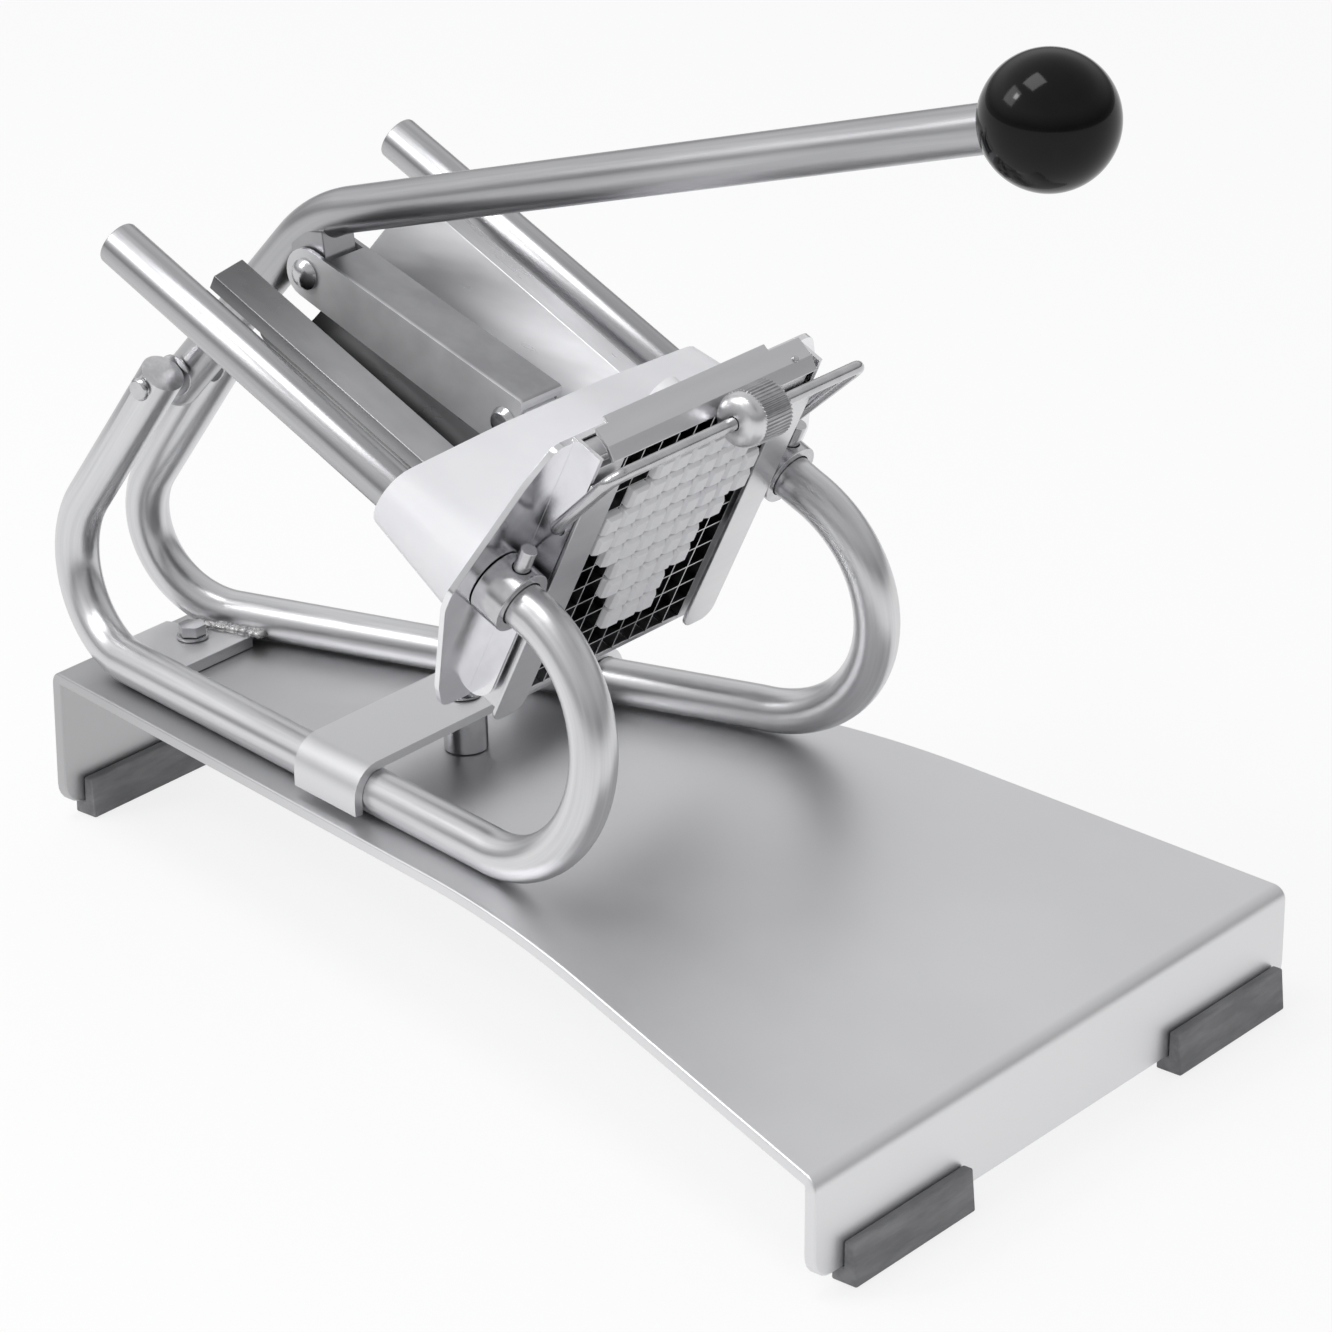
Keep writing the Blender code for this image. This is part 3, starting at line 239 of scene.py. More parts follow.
def paintLightAlong(tree, place, colour, direction, start, stop, first, last):
    # paints light and shade: multiplies the colour by a factor that runs from first, at start,
    # to last, at stop
    reach = addNode(tree, "ShaderNodeVectorMath", operation="DOT_PRODUCT")
    reach.inputs[1].default_value = onRods.to_3x3() @ Vector(direction)
    base = onRods.translation.dot(reach.inputs[1].default_value)
    factor = addNode(tree, "ShaderNodeMapRange")
    factor.inputs["From Min"].default_value = base + start
    factor.inputs["From Max"].default_value = base + stop
    factor.inputs["To Min"].default_value = first
    factor.inputs["To Max"].default_value = last
    toned = addNode(tree, "ShaderNodeVectorMath", operation="MULTIPLY")
    tree.links.new(place, reach.inputs[0])
    tree.links.new(reach.outputs["Value"], factor.inputs["Value"])
    tree.links.new(colour, toned.inputs[0])
    tree.links.new(factor.outputs["Result"], toned.inputs[1])
    return toned.outputs["Vector"]


def makeFinish(name):
    values = finishes[name]
    material = bpy.data.materials.new(name)
    material.use_nodes = True
    tree = material.node_tree
    shader = tree.nodes["Principled BSDF"]
    link = tree.links.new
    if "along" in values:
        stored = addNode(tree, "ShaderNodeAttribute", attribute_name=values["along"])
        place = stored.outputs["Vector"]
    else:
        place = addNode(tree, "ShaderNodeTexCoord").outputs["Object"]
    cloud = placeNoise(tree, place, *values["cloud"])
    tone = addNode(tree, "ShaderNodeGroup", node_tree=toneGroup)
    tone.inputs["Dark"].default_value = (*values["dark"], 1)
    tone.inputs["Light"].default_value = (*values["light"], 1)
    link(cloud, tone.inputs["Mask"])
    colour = tone.outputs["Color"]
    # painted light and shade, one band after another
    for paintedBand in values.get("shades", ()):
        colour = paintLightAlong(tree, place, colour, *paintedBand)
    link(colour, shader.inputs["Base Color"])
    grain = placeNoise(tree, place, *values["grain"])
    gloss = addNode(tree, "ShaderNodeMapRange")
    gloss.inputs["To Min"].default_value = values["rough"][0]
    gloss.inputs["To Max"].default_value = values["rough"][1]
    link(cloud, gloss.inputs["Value"])
    link(gloss.outputs["Result"], shader.inputs["Roughness"])
    relief = addNode(tree, "ShaderNodeBump")
    relief.inputs["Strength"].default_value = values["fine"]
    relief.inputs["Distance"].default_value = values["depth"]
    link(grain, relief.inputs["Height"])
    link(relief.outputs["Normal"], shader.inputs["Normal"])
    shader.inputs["Metallic"].default_value = values["metal"]
    if "specular" in values:
        shader.inputs["Specular IOR Level"].default_value = values["specular"]
    return material


materials = {name: makeFinish(name) for name in finishes}
print("materials made:", len(materials))


# helpers that make and finish pieces

meshRules = {"samePoint": 0.00001, "flatAngle": 0.4, "shortestRun": 0.00002, "holeSides": 48,
             "holeLength": 0.03, "edgeSteps": 2, "edgeAngle": 60.0, "smoothAngle": 40.0}


def selectOnly(piece):
    bpy.ops.object.select_all(action="DESELECT")
    piece.select_set(True)
    bpy.context.view_layer.objects.active = piece


def applyPlace(piece):
    selectOnly(piece)
    bpy.ops.object.transform_apply(location=True, rotation=True, scale=True)


def mergePoints(piece):
    selectOnly(piece)
    bpy.ops.object.mode_set(mode="EDIT")
    bpy.ops.mesh.select_all(action="SELECT")
    bpy.ops.mesh.remove_doubles(threshold=meshRules["samePoint"])
    bpy.ops.object.mode_set(mode="OBJECT")


def roundEdges(piece, width, steps=meshRules["edgeSteps"], angle=meshRules["edgeAngle"]):
    # rounds edges that turn by more than the angle
    selectOnly(piece)
    edge = piece.modifiers.new("edge", "BEVEL")
    edge.limit_method = "ANGLE"
    edge.angle_limit = math.radians(angle)
    edge.width = width
    edge.segments = steps
    bpy.ops.object.modifier_apply(modifier=edge.name)


def shade(piece, angle=meshRules["smoothAngle"]):
    # smooth, with edges that turn by more than the angle left sharp
    selectOnly(piece)
    bpy.ops.object.shade_smooth_by_angle(angle=math.radians(angle))


def evenNormals(piece):
    # large flat faces keep their own normal beside rounded edges
    selectOnly(piece)
    even = piece.modifiers.new("even", "WEIGHTED_NORMAL")
    even.keep_sharp = True
    bpy.ops.object.modifier_apply(modifier=even.name)


def dress(piece, name, finishName, body, slot, *stands):
    piece.name = name
    piece.data.name = name
    piece.data.materials.clear()
    piece.data.materials.append(materials[finishName])
    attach(piece, body)
    if stands:
        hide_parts(*stands)
    return piece


def finishedCopy(node, finishName, width, steps, angle, smooth):
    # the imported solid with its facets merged, its edges rounded and a finish of its own
    source = nodes[node]
    selectOnly(source)
    bpy.ops.object.duplicate()
    piece = bpy.context.object
    piece.parent = None
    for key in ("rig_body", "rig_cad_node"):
        if key in piece:
            del piece[key]
    mergePoints(piece)
    bpy.ops.object.mode_set(mode="EDIT")
    bpy.ops.mesh.select_all(action="SELECT")
    bpy.ops.mesh.dissolve_limited(angle_limit=math.radians(meshRules["flatAngle"]))
    bpy.ops.object.mode_set(mode="OBJECT")
    if width:
        roundEdges(piece, width, steps, angle)
    shade(piece, smooth)
    evenNormals(piece)
    return dress(piece, node + "_finished", finishName, bodyOf[node], slotOf[node], node)


def unbend(piece, path):
    # stores how far along and where across the bar each point lies, as if it were straight
    points = [Vector(point) for point in path]
    stretches, travelled, side = [], 0.0, None
    for first, second in zip(points, points[1:]):
        run = second - first
        if run.length < meshRules["shortestRun"]:
            continue
        ahead = run.normalized()
        if side is None:
            side = ahead.orthogonal().normalized()
        else:
            side = (side - ahead * side.dot(ahead)).normalized()
        stretches.append((first, ahead, run.length, side, ahead.cross(side), travelled))
        travelled += run.length
    places = []
    for vertex in piece.data.vertices:
        best = None
        for first, ahead, length, side, across, start in stretches:
            offset = vertex.co - first
            share = min(max(offset.dot(ahead), 0.0), length)
            gap = (offset - ahead * share).length_squared
            if best is None or gap < best[0]:
                best = (gap, start + offset.dot(ahead), offset.dot(side), offset.dot(across))
        places += best[1:]
    layer = piece.data.attributes.new("barPlace", "FLOAT_VECTOR", "POINT")
    layer.data.foreach_set("vector", places)


def barPiece(path, radius, sides, edge, widths=None):
    # round bar along a path, with its ends broken by edge
    bpy.ops.curve.primitive_bezier_curve_add()
    bar = bpy.context.object
    line = bar.data
    line.dimensions = "3D"
    line.splines.clear()
    spline = line.splines.new("POLY")
    spline.points.add(len(path) - 1)
    for index, point in enumerate(path):
        spline.points[index].co = (*point, 1)
        spline.points[index].radius = widths[index] if widths else 1
    line.bevel_depth = radius
    line.bevel_resolution = (sides - 4) // 2  # gives the bar that many sides
    line.use_fill_caps = True
    selectOnly(bar)
    bpy.ops.object.convert(target="MESH")
    bar = bpy.context.object
    mergePoints(bar)
    if edge:
        roundEdges(bar, edge)
    shade(bar)
    applyPlace(bar)
    return bar


def cutHole(piece, centre, direction, radius, length=meshRules["holeLength"]):
    turn = Vector((0, 0, 1)).rotation_difference(Vector(direction)).to_euler()
    bpy.ops.mesh.primitive_cylinder_add(vertices=meshRules["holeSides"], radius=radius,
                                        depth=length, location=centre, rotation=turn)
    cutter = bpy.context.object
    selectOnly(piece)
    hole = piece.modifiers.new("hole", "BOOLEAN")
    hole.operation = "DIFFERENCE"
    hole.solver = "EXACT"
    hole.object = cutter
    bpy.ops.object.modifier_apply(modifier=hole.name)
    bpy.data.objects.remove(cutter)


def arcPoints(centre, radius, start, end, count):
    angles = [start + (end - start) * index / count for index in range(count + 1)]
    return [Vector((centre[0] + radius * math.cos(angle), centre[1] + radius * math.sin(angle)))
            for angle in angles]


def roundedPath(points, radii, steps):
    # the path through the points, with each corner rounded to its radius
    shape = [Vector(point) for point in points]
    result = []
    for index, point in enumerate(shape):
        if radii[index] == 0:
            result.append(point)
            continue
        before = (shape[index - 1] - point).normalized()
        after = (shape[index + 1] - point).normalized()
        half = before.angle(after) / 2
        middle = point + (before + after).normalized() * radii[index] / math.sin(half)
        first = point + before * radii[index] / math.tan(half) - middle
        last = point + after * radii[index] / math.tan(half) - middle
        turn = first.angle(last)
        for number in range(steps + 1):
            share = number / steps
            result.append(middle + (first * math.sin((1 - share) * turn)
                                    + last * math.sin(share * turn)) / math.sin(turn))
    return result


# base plate, one bent sheet

basePlate = {"sheet": 0.005, "rearX": -0.2348, "frontX": 0.2407, "kinkX": 0.0663,
             "rearZ": 0.0673, "kinkZ": 0.0780, "frontZ": 0.0473, "rearHalf": 0.0412,
             "frontHalf": 0.1462, "kinkRadius": 0.44, "edgeRadius": 0.006,
             "cornerRadius": 0.010, "cornerSteps": 6, "lowZ": 0.0065, "steps": 16,
             "edge": 0.0009, "edgeSteps": 3, "edgeAngle": 50.0}
runSlope = (basePlate["kinkZ"] - basePlate["rearZ"]) / (basePlate["kinkX"] - basePlate["rearX"])
runAngle = math.atan(runSlope)


def baseTop(x):
    # height of the plate's top, without the rounding of its kink
    if x <= basePlate["kinkX"]:
        return basePlate["kinkZ"] + runSlope * (x - basePlate["kinkX"])
    fall = ((basePlate["kinkZ"] - basePlate["frontZ"])
            / (basePlate["frontX"] - basePlate["kinkX"]))
    return basePlate["kinkZ"] - fall * (x - basePlate["kinkX"])


def makeBasePlate():
    s = basePlate
    profile = roundedPath(
        [(s["rearX"], s["lowZ"]), (s["rearX"], s["rearZ"]), (s["kinkX"], s["kinkZ"]),
         (s["frontX"], s["frontZ"]), (s["frontX"], s["lowZ"])],
        [0, s["edgeRadius"], s["kinkRadius"], s["edgeRadius"], 0], s["steps"])
    count = len(profile)
    bpy.ops.mesh.primitive_grid_add(x_subdivisions=count - 1, y_subdivisions=1, size=2)
    plate = bpy.context.object
    growth = (s["frontHalf"] - s["rearHalf"]) / (s["frontX"] - s["rearX"])
    for vertex in plate.data.vertices:
        point = profile[round((vertex.co.x + 1) / 2 * (count - 1))]
        half = s["rearHalf"] + growth * (point.x - s["rearX"])
        vertex.co = (point.x, math.copysign(half, vertex.co.y), point.y)
    bpy.ops.object.mode_set(mode="EDIT")
    bpy.ops.mesh.select_all(action="DESELECT")
    edit = bmesh.from_edit_mesh(plate.data)
    for vertex in edit.verts:
        vertex.select = vertex.co.z < s["lowZ"] + meshRules["samePoint"]
    edit.select_flush_mode()
    bmesh.update_edit_mesh(plate.data)
    bpy.ops.mesh.bevel(offset=s["cornerRadius"], segments=s["cornerSteps"], profile=0.5,
                       affect="VERTICES")
    bpy.ops.object.mode_set(mode="OBJECT")
    wall = plate.modifiers.new("wall", "SOLIDIFY")
    wall.thickness = s["sheet"]
    wall.offset = -1
    wall.use_even_offset = True
    selectOnly(plate)
    bpy.ops.object.modifier_apply(modifier=wall.name)
    roundEdges(plate, s["edge"], s["edgeSteps"], s["edgeAngle"])
    shade(plate)
    evenNormals(plate)
    dress(plate, "basePlate", "shadedBaseSheet", "frame", "base_steel", "base_plate")


makeBasePlate()
print("base plate made")


# frame tubes, lever and rods

frameTube = {"radius": 0.009, "sides": 32, "gap": 0.0003, "rodY": 0.0786, "startS": 0.2133,
             "frontBend": 0.052, "flare": 0.012, "runY": 0.0876, "runSpread": 0.21,
             "rearBend": 0.038, "rearBendX": -0.1997, "topY": 0.0195,
             "pivot": (-0.1890, 0.1976), "edgeBeyondPivot": 0.0055, "steps": 44,
             "endEdge": 0.0012, "pinHole": 0.0033}


def runAxis(x):
    # height of a tube's middle line where it runs along the base
    return baseTop(x) + (frameTube["radius"] + frameTube["gap"]) / math.cos(runAngle)


def runY(x):
    return frameTube["runY"] + frameTube["runSpread"] * (x - basePlate["kinkX"])


def frontBendCentre():
    # where the bend touches both the rod's line and the run's line, seen from the side
    slope = math.radians(rodFrame["slope"])
    rodNormal = Vector((math.sin(slope), math.cos(slope)))
    runNormal = Vector((-math.sin(runAngle), math.cos(runAngle)))
    rodOffset = (rodNormal.dot(Vector((rodFrame["rear"][0], rodFrame["rear"][2])))
                 - frameTube["frontBend"])
    runPoint = Vector((basePlate["kinkX"], runAxis(basePlate["kinkX"])))
    runOffset = runNormal.dot(runPoint) + frameTube["frontBend"]
    return Matrix((rodNormal, runNormal)).inverted() @ Vector((rodOffset, runOffset))


def tubePath(side):
    # from the rod down round the front bend, back along the base and up to the pivot
    s = frameTube
    points = [onRods @ Vector((s["startS"], side * s["rodY"], 0))]
    centre = frontBendCentre()
    start = math.pi / 2 - math.radians(rodFrame["slope"])
    end = -math.pi / 2 - runAngle
    length = s["frontBend"] * (start - end)
    endX = centre.x + s["frontBend"] * math.cos(end)
    for index in range(s["steps"] + 1):
        t = index / s["steps"]
        angle = start + (end - start) * t
        rise = (t ** 3 - 2 * t ** 2 + t) * s["flare"]
        fall = (t ** 3 - t ** 2) * -s["runSpread"] * length
        y = s["rodY"] + (runY(endX) - s["rodY"]) * (3 - 2 * t) * t ** 2 + rise + fall
        points.append(Vector((centre.x + s["frontBend"] * math.cos(angle), side * y,
                              centre.y + s["frontBend"] * math.sin(angle))))
    rearZ = runAxis(s["rearBendX"]) + s["rearBend"] / math.cos(runAngle)
    centre = Vector((s["rearBendX"], rearZ))
    reach = Vector(s["pivot"]) - centre
    tangent = math.atan2(reach.y, reach.x) + math.acos(s["rearBend"] / reach.length)
    start = -math.pi / 2 - runAngle
    end = tangent - 2 * math.pi
    beginX = centre.x + s["rearBend"] * math.cos(start)
    for index in range(s["steps"] + 1):
        t = index / s["steps"]
        angle = start + (end - start) * t
        y = s["topY"] + (runY(beginX) - s["topY"]) * (1 - t) ** 2
        points.append(Vector((centre.x + s["rearBend"] * math.cos(angle), side * y,
                              centre.y + s["rearBend"] * math.sin(angle))))
    ahead = Vector((math.sin(tangent), -math.cos(tangent)))
    tip = Vector(s["pivot"]) + ahead * s["edgeBeyondPivot"]
    points.append(Vector((tip.x, side * s["topY"], tip.y)))
    return points


def makeFrameTubes():
    s = frameTube
    for name, side in (("left", -1), ("right", 1)):
        tube = barPiece(tubePath(side), s["radius"], s["sides"], s["endEdge"])
        cutHole(tube, (s["pivot"][0], side * s["topY"], s["pivot"][1]), (0, 1, 0),
                s["pinHole"])
        shade(tube)
        unbend(tube, tubePath(side))
        # lighter than the lever and rods, as painted light
        dress(tube, "frameTube_" + name, "litSatinBar", "frame", "satin_steel",
              "frame_tube_" + name)


lever = {"radius": 0.009, "sides": 36, "lowAngle": 48.7, "highAngle": 18.0, "lowEnd": 0.020,
         "endSteps": 8, "endPoint": 0.002, "corner": 0.1080, "bend": 0.066, "bendSteps": 24,
         "reach": 0.3575, "pinHole": 0.0033}
lug = {"bolt": (0.0405, -0.0076), "boltHole": 0.0043, "radius": 0.0088, "half": 0.0087,
       "steps": 24, "edge": 0.0006, "edgeSteps": 2, "edgeAngle": 50.0, "smooth": 32.0}


def leverPoints():
    # both directions of the bent bar, its pivot, its corner and its upper end
    low = Vector((math.cos(math.radians(lever["lowAngle"])),
                  math.sin(math.radians(lever["lowAngle"]))))
    high = Vector((math.cos(math.radians(lever["highAngle"])),
                   math.sin(math.radians(lever["highAngle"]))))
    origin = Vector(frameTube["pivot"])
    corner = origin + low * lever["corner"]
    return low, high, origin, corner, corner + high * lever["reach"]


def makeLever():
    low, high, origin, corner, end = leverPoints()
    tail = origin - low * (lever["lowEnd"] - lever["radius"])
    path, widths = [], []
    for index in range(lever["endSteps"] + 1):  # half a ball at the lower end
        angle = math.pi / 2 * index / lever["endSteps"]
        path.append(tail - low * lever["radius"] * math.cos(angle))
        widths.append(max(math.sin(angle), lever["endPoint"]))
    bend = roundedPath([tail, corner, end], [0, lever["bend"], 0], lever["bendSteps"])
    path += bend[1:]
    widths += [1] * (len(bend) - 1)
    line = [Vector((p.x, 0, p.y)) for p in path]
    bar = barPiece(line, lever["radius"], lever["sides"], 0, widths)
    cutHole(bar, (origin.x, 0, origin.y), (0, 1, 0), lever["pinHole"])
    shade(bar)
    unbend(bar, line)
    dress(bar, "leverBar", "satinBar", "lever", "satin_steel", "lever")


def makeLug():
    # the flat ear under the bend that carries the link's bolt
    corner = leverPoints()[3]
    place = onRods @ Vector((lug["bolt"][0], 0, lug["bolt"][1]))
    bolt = Vector((place.x, place.z))
    up = (corner - bolt).normalized()
    angle = math.atan2(up.y, up.x)
    reach = (corner - bolt).length - lever["radius"] / 2
    side = Vector((up.y, -up.x)) * lug["radius"]
    outline = arcPoints(bolt, lug["radius"], angle + math.pi / 2, angle + 3 * math.pi / 2,
                        lug["steps"])
    outline += [bolt + up * reach + side, bolt + up * reach - side]
    bpy.ops.mesh.primitive_circle_add(vertices=len(outline), radius=1, fill_type="NGON")
    ear = bpy.context.object
    for vertex, point in zip(ear.data.vertices, outline):
        vertex.co = (point.x, -lug["half"], point.y)
    bpy.ops.object.mode_set(mode="EDIT")
    bpy.ops.mesh.select_all(action="SELECT")
    bpy.ops.mesh.extrude_region_move(TRANSFORM_OT_translate={"value": (0, 2 * lug["half"], 0)})
    bpy.ops.mesh.select_all(action="SELECT")
    bpy.ops.mesh.normals_make_consistent(inside=False)
    bpy.ops.object.mode_set(mode="OBJECT")
    cutHole(ear, (bolt.x, 0, bolt.y), (0, 1, 0), lug["boltHole"])
    roundEdges(ear, lug["edge"], lug["edgeSteps"], lug["edgeAngle"])
    shade(ear, lug["smooth"])
    evenNormals(ear)
    # dark, as painted shade under the lever's bend
    dress(ear, "leverLug", "shadedLinkSheet", "lever", "satin_steel")


guideRod = {"length": 0.2127, "sides": 64, "endEdge": 0.0008}


def makeGuideRods():
    s = guideRod
    for name, side in (("left", -1), ("right", 1)):
        bpy.ops.mesh.primitive_cylinder_add(vertices=s["sides"], radius=frameTube["radius"],
                                            depth=s["length"], rotation=(0, math.pi / 2, 0))
        rod = bpy.context.object
        applyPlace(rod)
        y = side * frameTube["rodY"]
        rod.data.transform(onRods @ Matrix.Translation((s["length"] / 2, y, 0)))
        roundEdges(rod, s["endEdge"])
        shade(rod)
        unbend(rod, [onRods @ Vector((place, y, 0)) for place in (0, s["length"])])
        dress(rod, "guideRod_" + name, "satinBar", "frame", "satin_steel", "guide_rod_" + name)


makeFrameTubes()
makeLever()
makeLug()
makeGuideRods()
print("tubes, lever and rods made")


# ball grip

ballGrip = {"radius": 0.025, "segments": 96, "rings": 64, "seamRing": 17, "seamReach": 0.0002,
            "seamShare": 0.990, "bore": 0.0094, "boreDepth": 0.030, "smooth": 50.0}


def makeBall():
    s = ballGrip
    high, end = leverPoints()[1], leverPoints()[4]
    bpy.ops.mesh.primitive_uv_sphere_add(segments=s["segments"], ring_count=s["rings"],
                                         radius=s["radius"])
    ball = bpy.context.object
    selectOnly(ball)
    bpy.ops.object.mode_set(mode="EDIT")
    bpy.ops.mesh.select_all(action="DESELECT")
    edit = bmesh.from_edit_mesh(ball.data)
    seam = -s["radius"] * math.cos(math.pi * s["seamRing"] / s["rings"])
    for vertex in edit.verts:
        vertex.select = abs(vertex.co.z - seam) < s["seamReach"]
    edit.select_flush_mode()
    bmesh.update_edit_mesh(ball.data)
    bpy.ops.transform.resize(value=(s["seamShare"], s["seamShare"], 1))
    bpy.ops.object.mode_set(mode="OBJECT")
    turn = Matrix.Rotation(math.pi / 2 - math.radians(lever["highAngle"]), 4, "Y")
    ball.data.transform(Matrix.Translation((end.x, 0, end.y)) @ turn)
    middle = end - high * s["boreDepth"] / 2
    cutHole(ball, (middle.x, 0, middle.y), (high.x, 0, high.y), s["bore"], s["boreDepth"])
    shade(ball, s["smooth"])
    dress(ball, "ballGrip", "blackMoulding", "lever", "black_plastic", "ball_grip")


makeBall()
print("ball grip made")


# retaining bail and knurled knob

bail = {"wire": 0.0025, "sides": 20, "tip": (0.2140, 0.0610, 0.0265),
        "leg": (0.2140, 0.0680, 0.0265), "top": (0.2308, 0.0730, 0.0680), "bend": 0.0055,
        "bendSteps": 10, "endEdge": 0.0004}
knob = {"radius": 0.0110, "teeth": 44, "toothDepth": 0.0006, "toothEdge": 0.0003,
        "middleY": 0.0058, "length": 0.0215, "collar": 0.0065, "collarRadius": 0.0106,
        "collarShape": ((0.0, 0.0), (0.42, 0.0), (0.72, 0.10), (0.90, 0.30), (1.0, 0.62),
                        (0.98, 1.0), (0.0, 1.0)),
        "bore": 0.0028, "boreLength": 0.04, "toothSmooth": 28.0}


def makeBail():
    half = [bail["tip"], bail["leg"], bail["top"]]
    corners = [(s, -y, h) for s, y, h in half] + list(reversed(half))
    path = roundedPath(corners, [0] + [bail["bend"]] * 4 + [0], bail["bendSteps"])
    wire = barPiece([onRods @ point for point in path], bail["wire"], bail["sides"],
                    bail["endEdge"])
    dress(wire, "retainingBail", "polishedFitting", "bail", "polished_steel", "retaining_bail")


def makeKnobGrip():
    sides = knob["teeth"] * 4
    bpy.ops.mesh.primitive_cylinder_add(vertices=sides, radius=knob["radius"],
                                        depth=knob["length"] - knob["collar"])
    grip = bpy.context.object
    for vertex in grip.data.vertices:
        turn = math.atan2(vertex.co.y, vertex.co.x) % (2 * math.pi)
        if round(turn / (2 * math.pi) * sides) % 4 in (0, 1):  # the low half of each tooth
            share = 1 - knob["toothDepth"] / knob["radius"]
            vertex.co.x *= share
            vertex.co.y *= share
    grip.data.transform(Matrix.Translation((0, 0, (knob["length"] + knob["collar"]) / 2)))
    roundEdges(grip, knob["toothEdge"], 1)
    return grip


def makeKnobCollar():
    # a grid rolled up round the knob's middle line
    rings = len(knob["collarShape"]) - 1
    bpy.ops.mesh.primitive_grid_add(x_subdivisions=knob["teeth"] * 2, y_subdivisions=rings,
                                    size=2)
    collar = bpy.context.object
    for vertex in collar.data.vertices:
        turn = (vertex.co.x + 1) * math.pi
        radius, height = knob["collarShape"][round((vertex.co.y + 1) / 2 * rings)]
        radius *= knob["collarRadius"]
        height *= knob["collar"] + knob["toothDepth"]
        vertex.co = (radius * math.cos(turn), radius * math.sin(turn), height)
    mergePoints(collar)
    bpy.ops.object.mode_set(mode="EDIT")
    bpy.ops.mesh.select_all(action="SELECT")
    bpy.ops.mesh.normals_make_consistent(inside=False)
    bpy.ops.object.mode_set(mode="OBJECT")
    return collar


def makeKnob():
    s, h = bail["top"][0], bail["top"][2]
    near = knob["middleY"] - knob["length"] / 2
    grip, collar = makeKnobGrip(), makeKnobCollar()
    for part in (grip, collar):
        part.data.transform(onRods @ Matrix.Translation((s, near, h))
                            @ Matrix.Rotation(-math.pi / 2, 4, "X"))
        cutHole(part, onRods @ Vector((s, knob["middleY"], h)), (0, 1, 0), knob["bore"],
                knob["boreLength"])
    shade(grip, knob["toothSmooth"])
    shade(collar)
    dress(grip, "knobGrip", "knurledSteel", "knob", "satin_steel", "knurled_knob")
    dress(collar, "knobCollar", "brushedSheet", "knob", "satin_steel")


makeBail()
makeKnob()
print("bail and knob made")


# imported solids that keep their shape: finish, and width and steps of the rounded edges
keptPieces = {
    "carriage": ("whiteMoulding", 0.0012, 3), "peg_plate": ("pegMoulding", 0.0015, 3),
    "head_plate": ("mirrorSheet", 0.0006, 2), "trough": ("litAndShadedTroughSheet", 0.0004, 2),
    "link": ("shadedLinkSheet", 0.00095, 3), "saddle_strap": ("blastedSheet", 0.0008, 2),
    "rear_cross_plate": ("blastedSheet", 0.0006, 2),
    "cassette_frame": ("brushedSheet", 0.0003, 2),
    "cassette_top_strip": ("brushedSheet", 0.0003, 2), "knife_grid": ("litKnifeEdge", 0, 0),
    "guide_strip_left": ("brushedSheet", 0.0003, 2),
    "guide_strip_right": ("brushedSheet", 0.0003, 2),
    "collar_left": ("polishedFitting", 0.0006, 2), "collar_right": ("polishedFitting", 0.0006, 2),
    "set_screw_left": ("polishedFitting", 0.0005, 2),
    "set_screw_right": ("polishedFitting", 0.0005, 2),
    "standoff_post": ("polishedFitting", 0.0004, 2), "post_bolt": ("polishedFitting", 0.0004, 2),
    "post_nut": ("polishedFitting", 0.0004, 2), "rear_bolt": ("polishedFitting", 0.0005, 2),
    "rear_washer": ("polishedFitting", 0.0003, 2), "rear_nut": ("polishedFitting", 0.0004, 2),
    "link_bolt": ("polishedFitting", 0.0004, 2), "link_nut": ("polishedFitting", 0.0004, 2),
    "link_pin_left": ("polishedFitting", 0.0004, 2),
    "link_pin_right": ("polishedFitting", 0.0004, 2),
    "pivot_pin": ("polishedFitting", 0.0004, 2),
    "pivot_washer_left": ("polishedFitting", 0.0003, 2),
    "pivot_washer_right": ("polishedFitting", 0.0003, 2),
    "foot_front_left": ("greyRubber", 0.0007, 2), "foot_front_right": ("greyRubber", 0.0007, 2),
    "foot_rear": ("greyRubber", 0.0007, 2),
}
keptAngles = {"edge": 40.0, "smooth": 32.0}
gentleEdges = {"peg_plate": 30.0}  # the edges of its pegs turn by less
creases = {"cassette_top_strip": 8.0}  # its shallow fold stays sharp
made = {}
for node, (finishName, width, steps) in keptPieces.items():
    made[node] = finishedCopy(node, finishName, width, steps,
                              gentleEdges.get(node, keptAngles["edge"]),
                              creases.get(node, keptAngles["smooth"]))

# faces turned away from a direction of the rods' frame take a second finish: on the knife
# grid a near-black copy, as painted shade, and on the link a lighter copy, as painted light,
# beside the darker copy on its web
litAndShadedFaces = {"knife_grid": ((1, 0, 0), 0.7, "shadedKnifeFlank"), "link": ((0, 0, 1), 0.8, "litLinkFlank")}
linkFoldHighlight = {"direction": (0, 0, 1), "steepest": 0.2, "flattest": 0.95, "sideways": 0.2}


def facing(face, direction):
    return face.normal.dot(onRods.to_3x3() @ Vector(direction))


for node, (direction, least, finishName) in litAndShadedFaces.items():
    made[node].data.materials.append(materials[finishName])
    for face in made[node].data.polygons:
        face.material_index = 0 if facing(face, direction) > least else 1
# the link's folds take a painted highlight
made["link"].data.materials.append(materials["foldHighlight"])
for face in made["link"].data.polygons:
    turned = facing(face, linkFoldHighlight["direction"])
    if (linkFoldHighlight["steepest"] < turned < linkFoldHighlight["flattest"]
            and abs(face.normal.y) > linkFoldHighlight["sideways"]):
        face.material_index = 2
print("packed solids finished:", len(keptPieces))


# small rivet head at the far end of the cassette's top strip
stripRivet = {"place": (0.2153, 0.0502, 0.0663), "sides": 32, "radius": 0.0015,
              "height": 0.0014, "edge": 0.0006, "edgeSteps": 3, "tilt": 18.0}


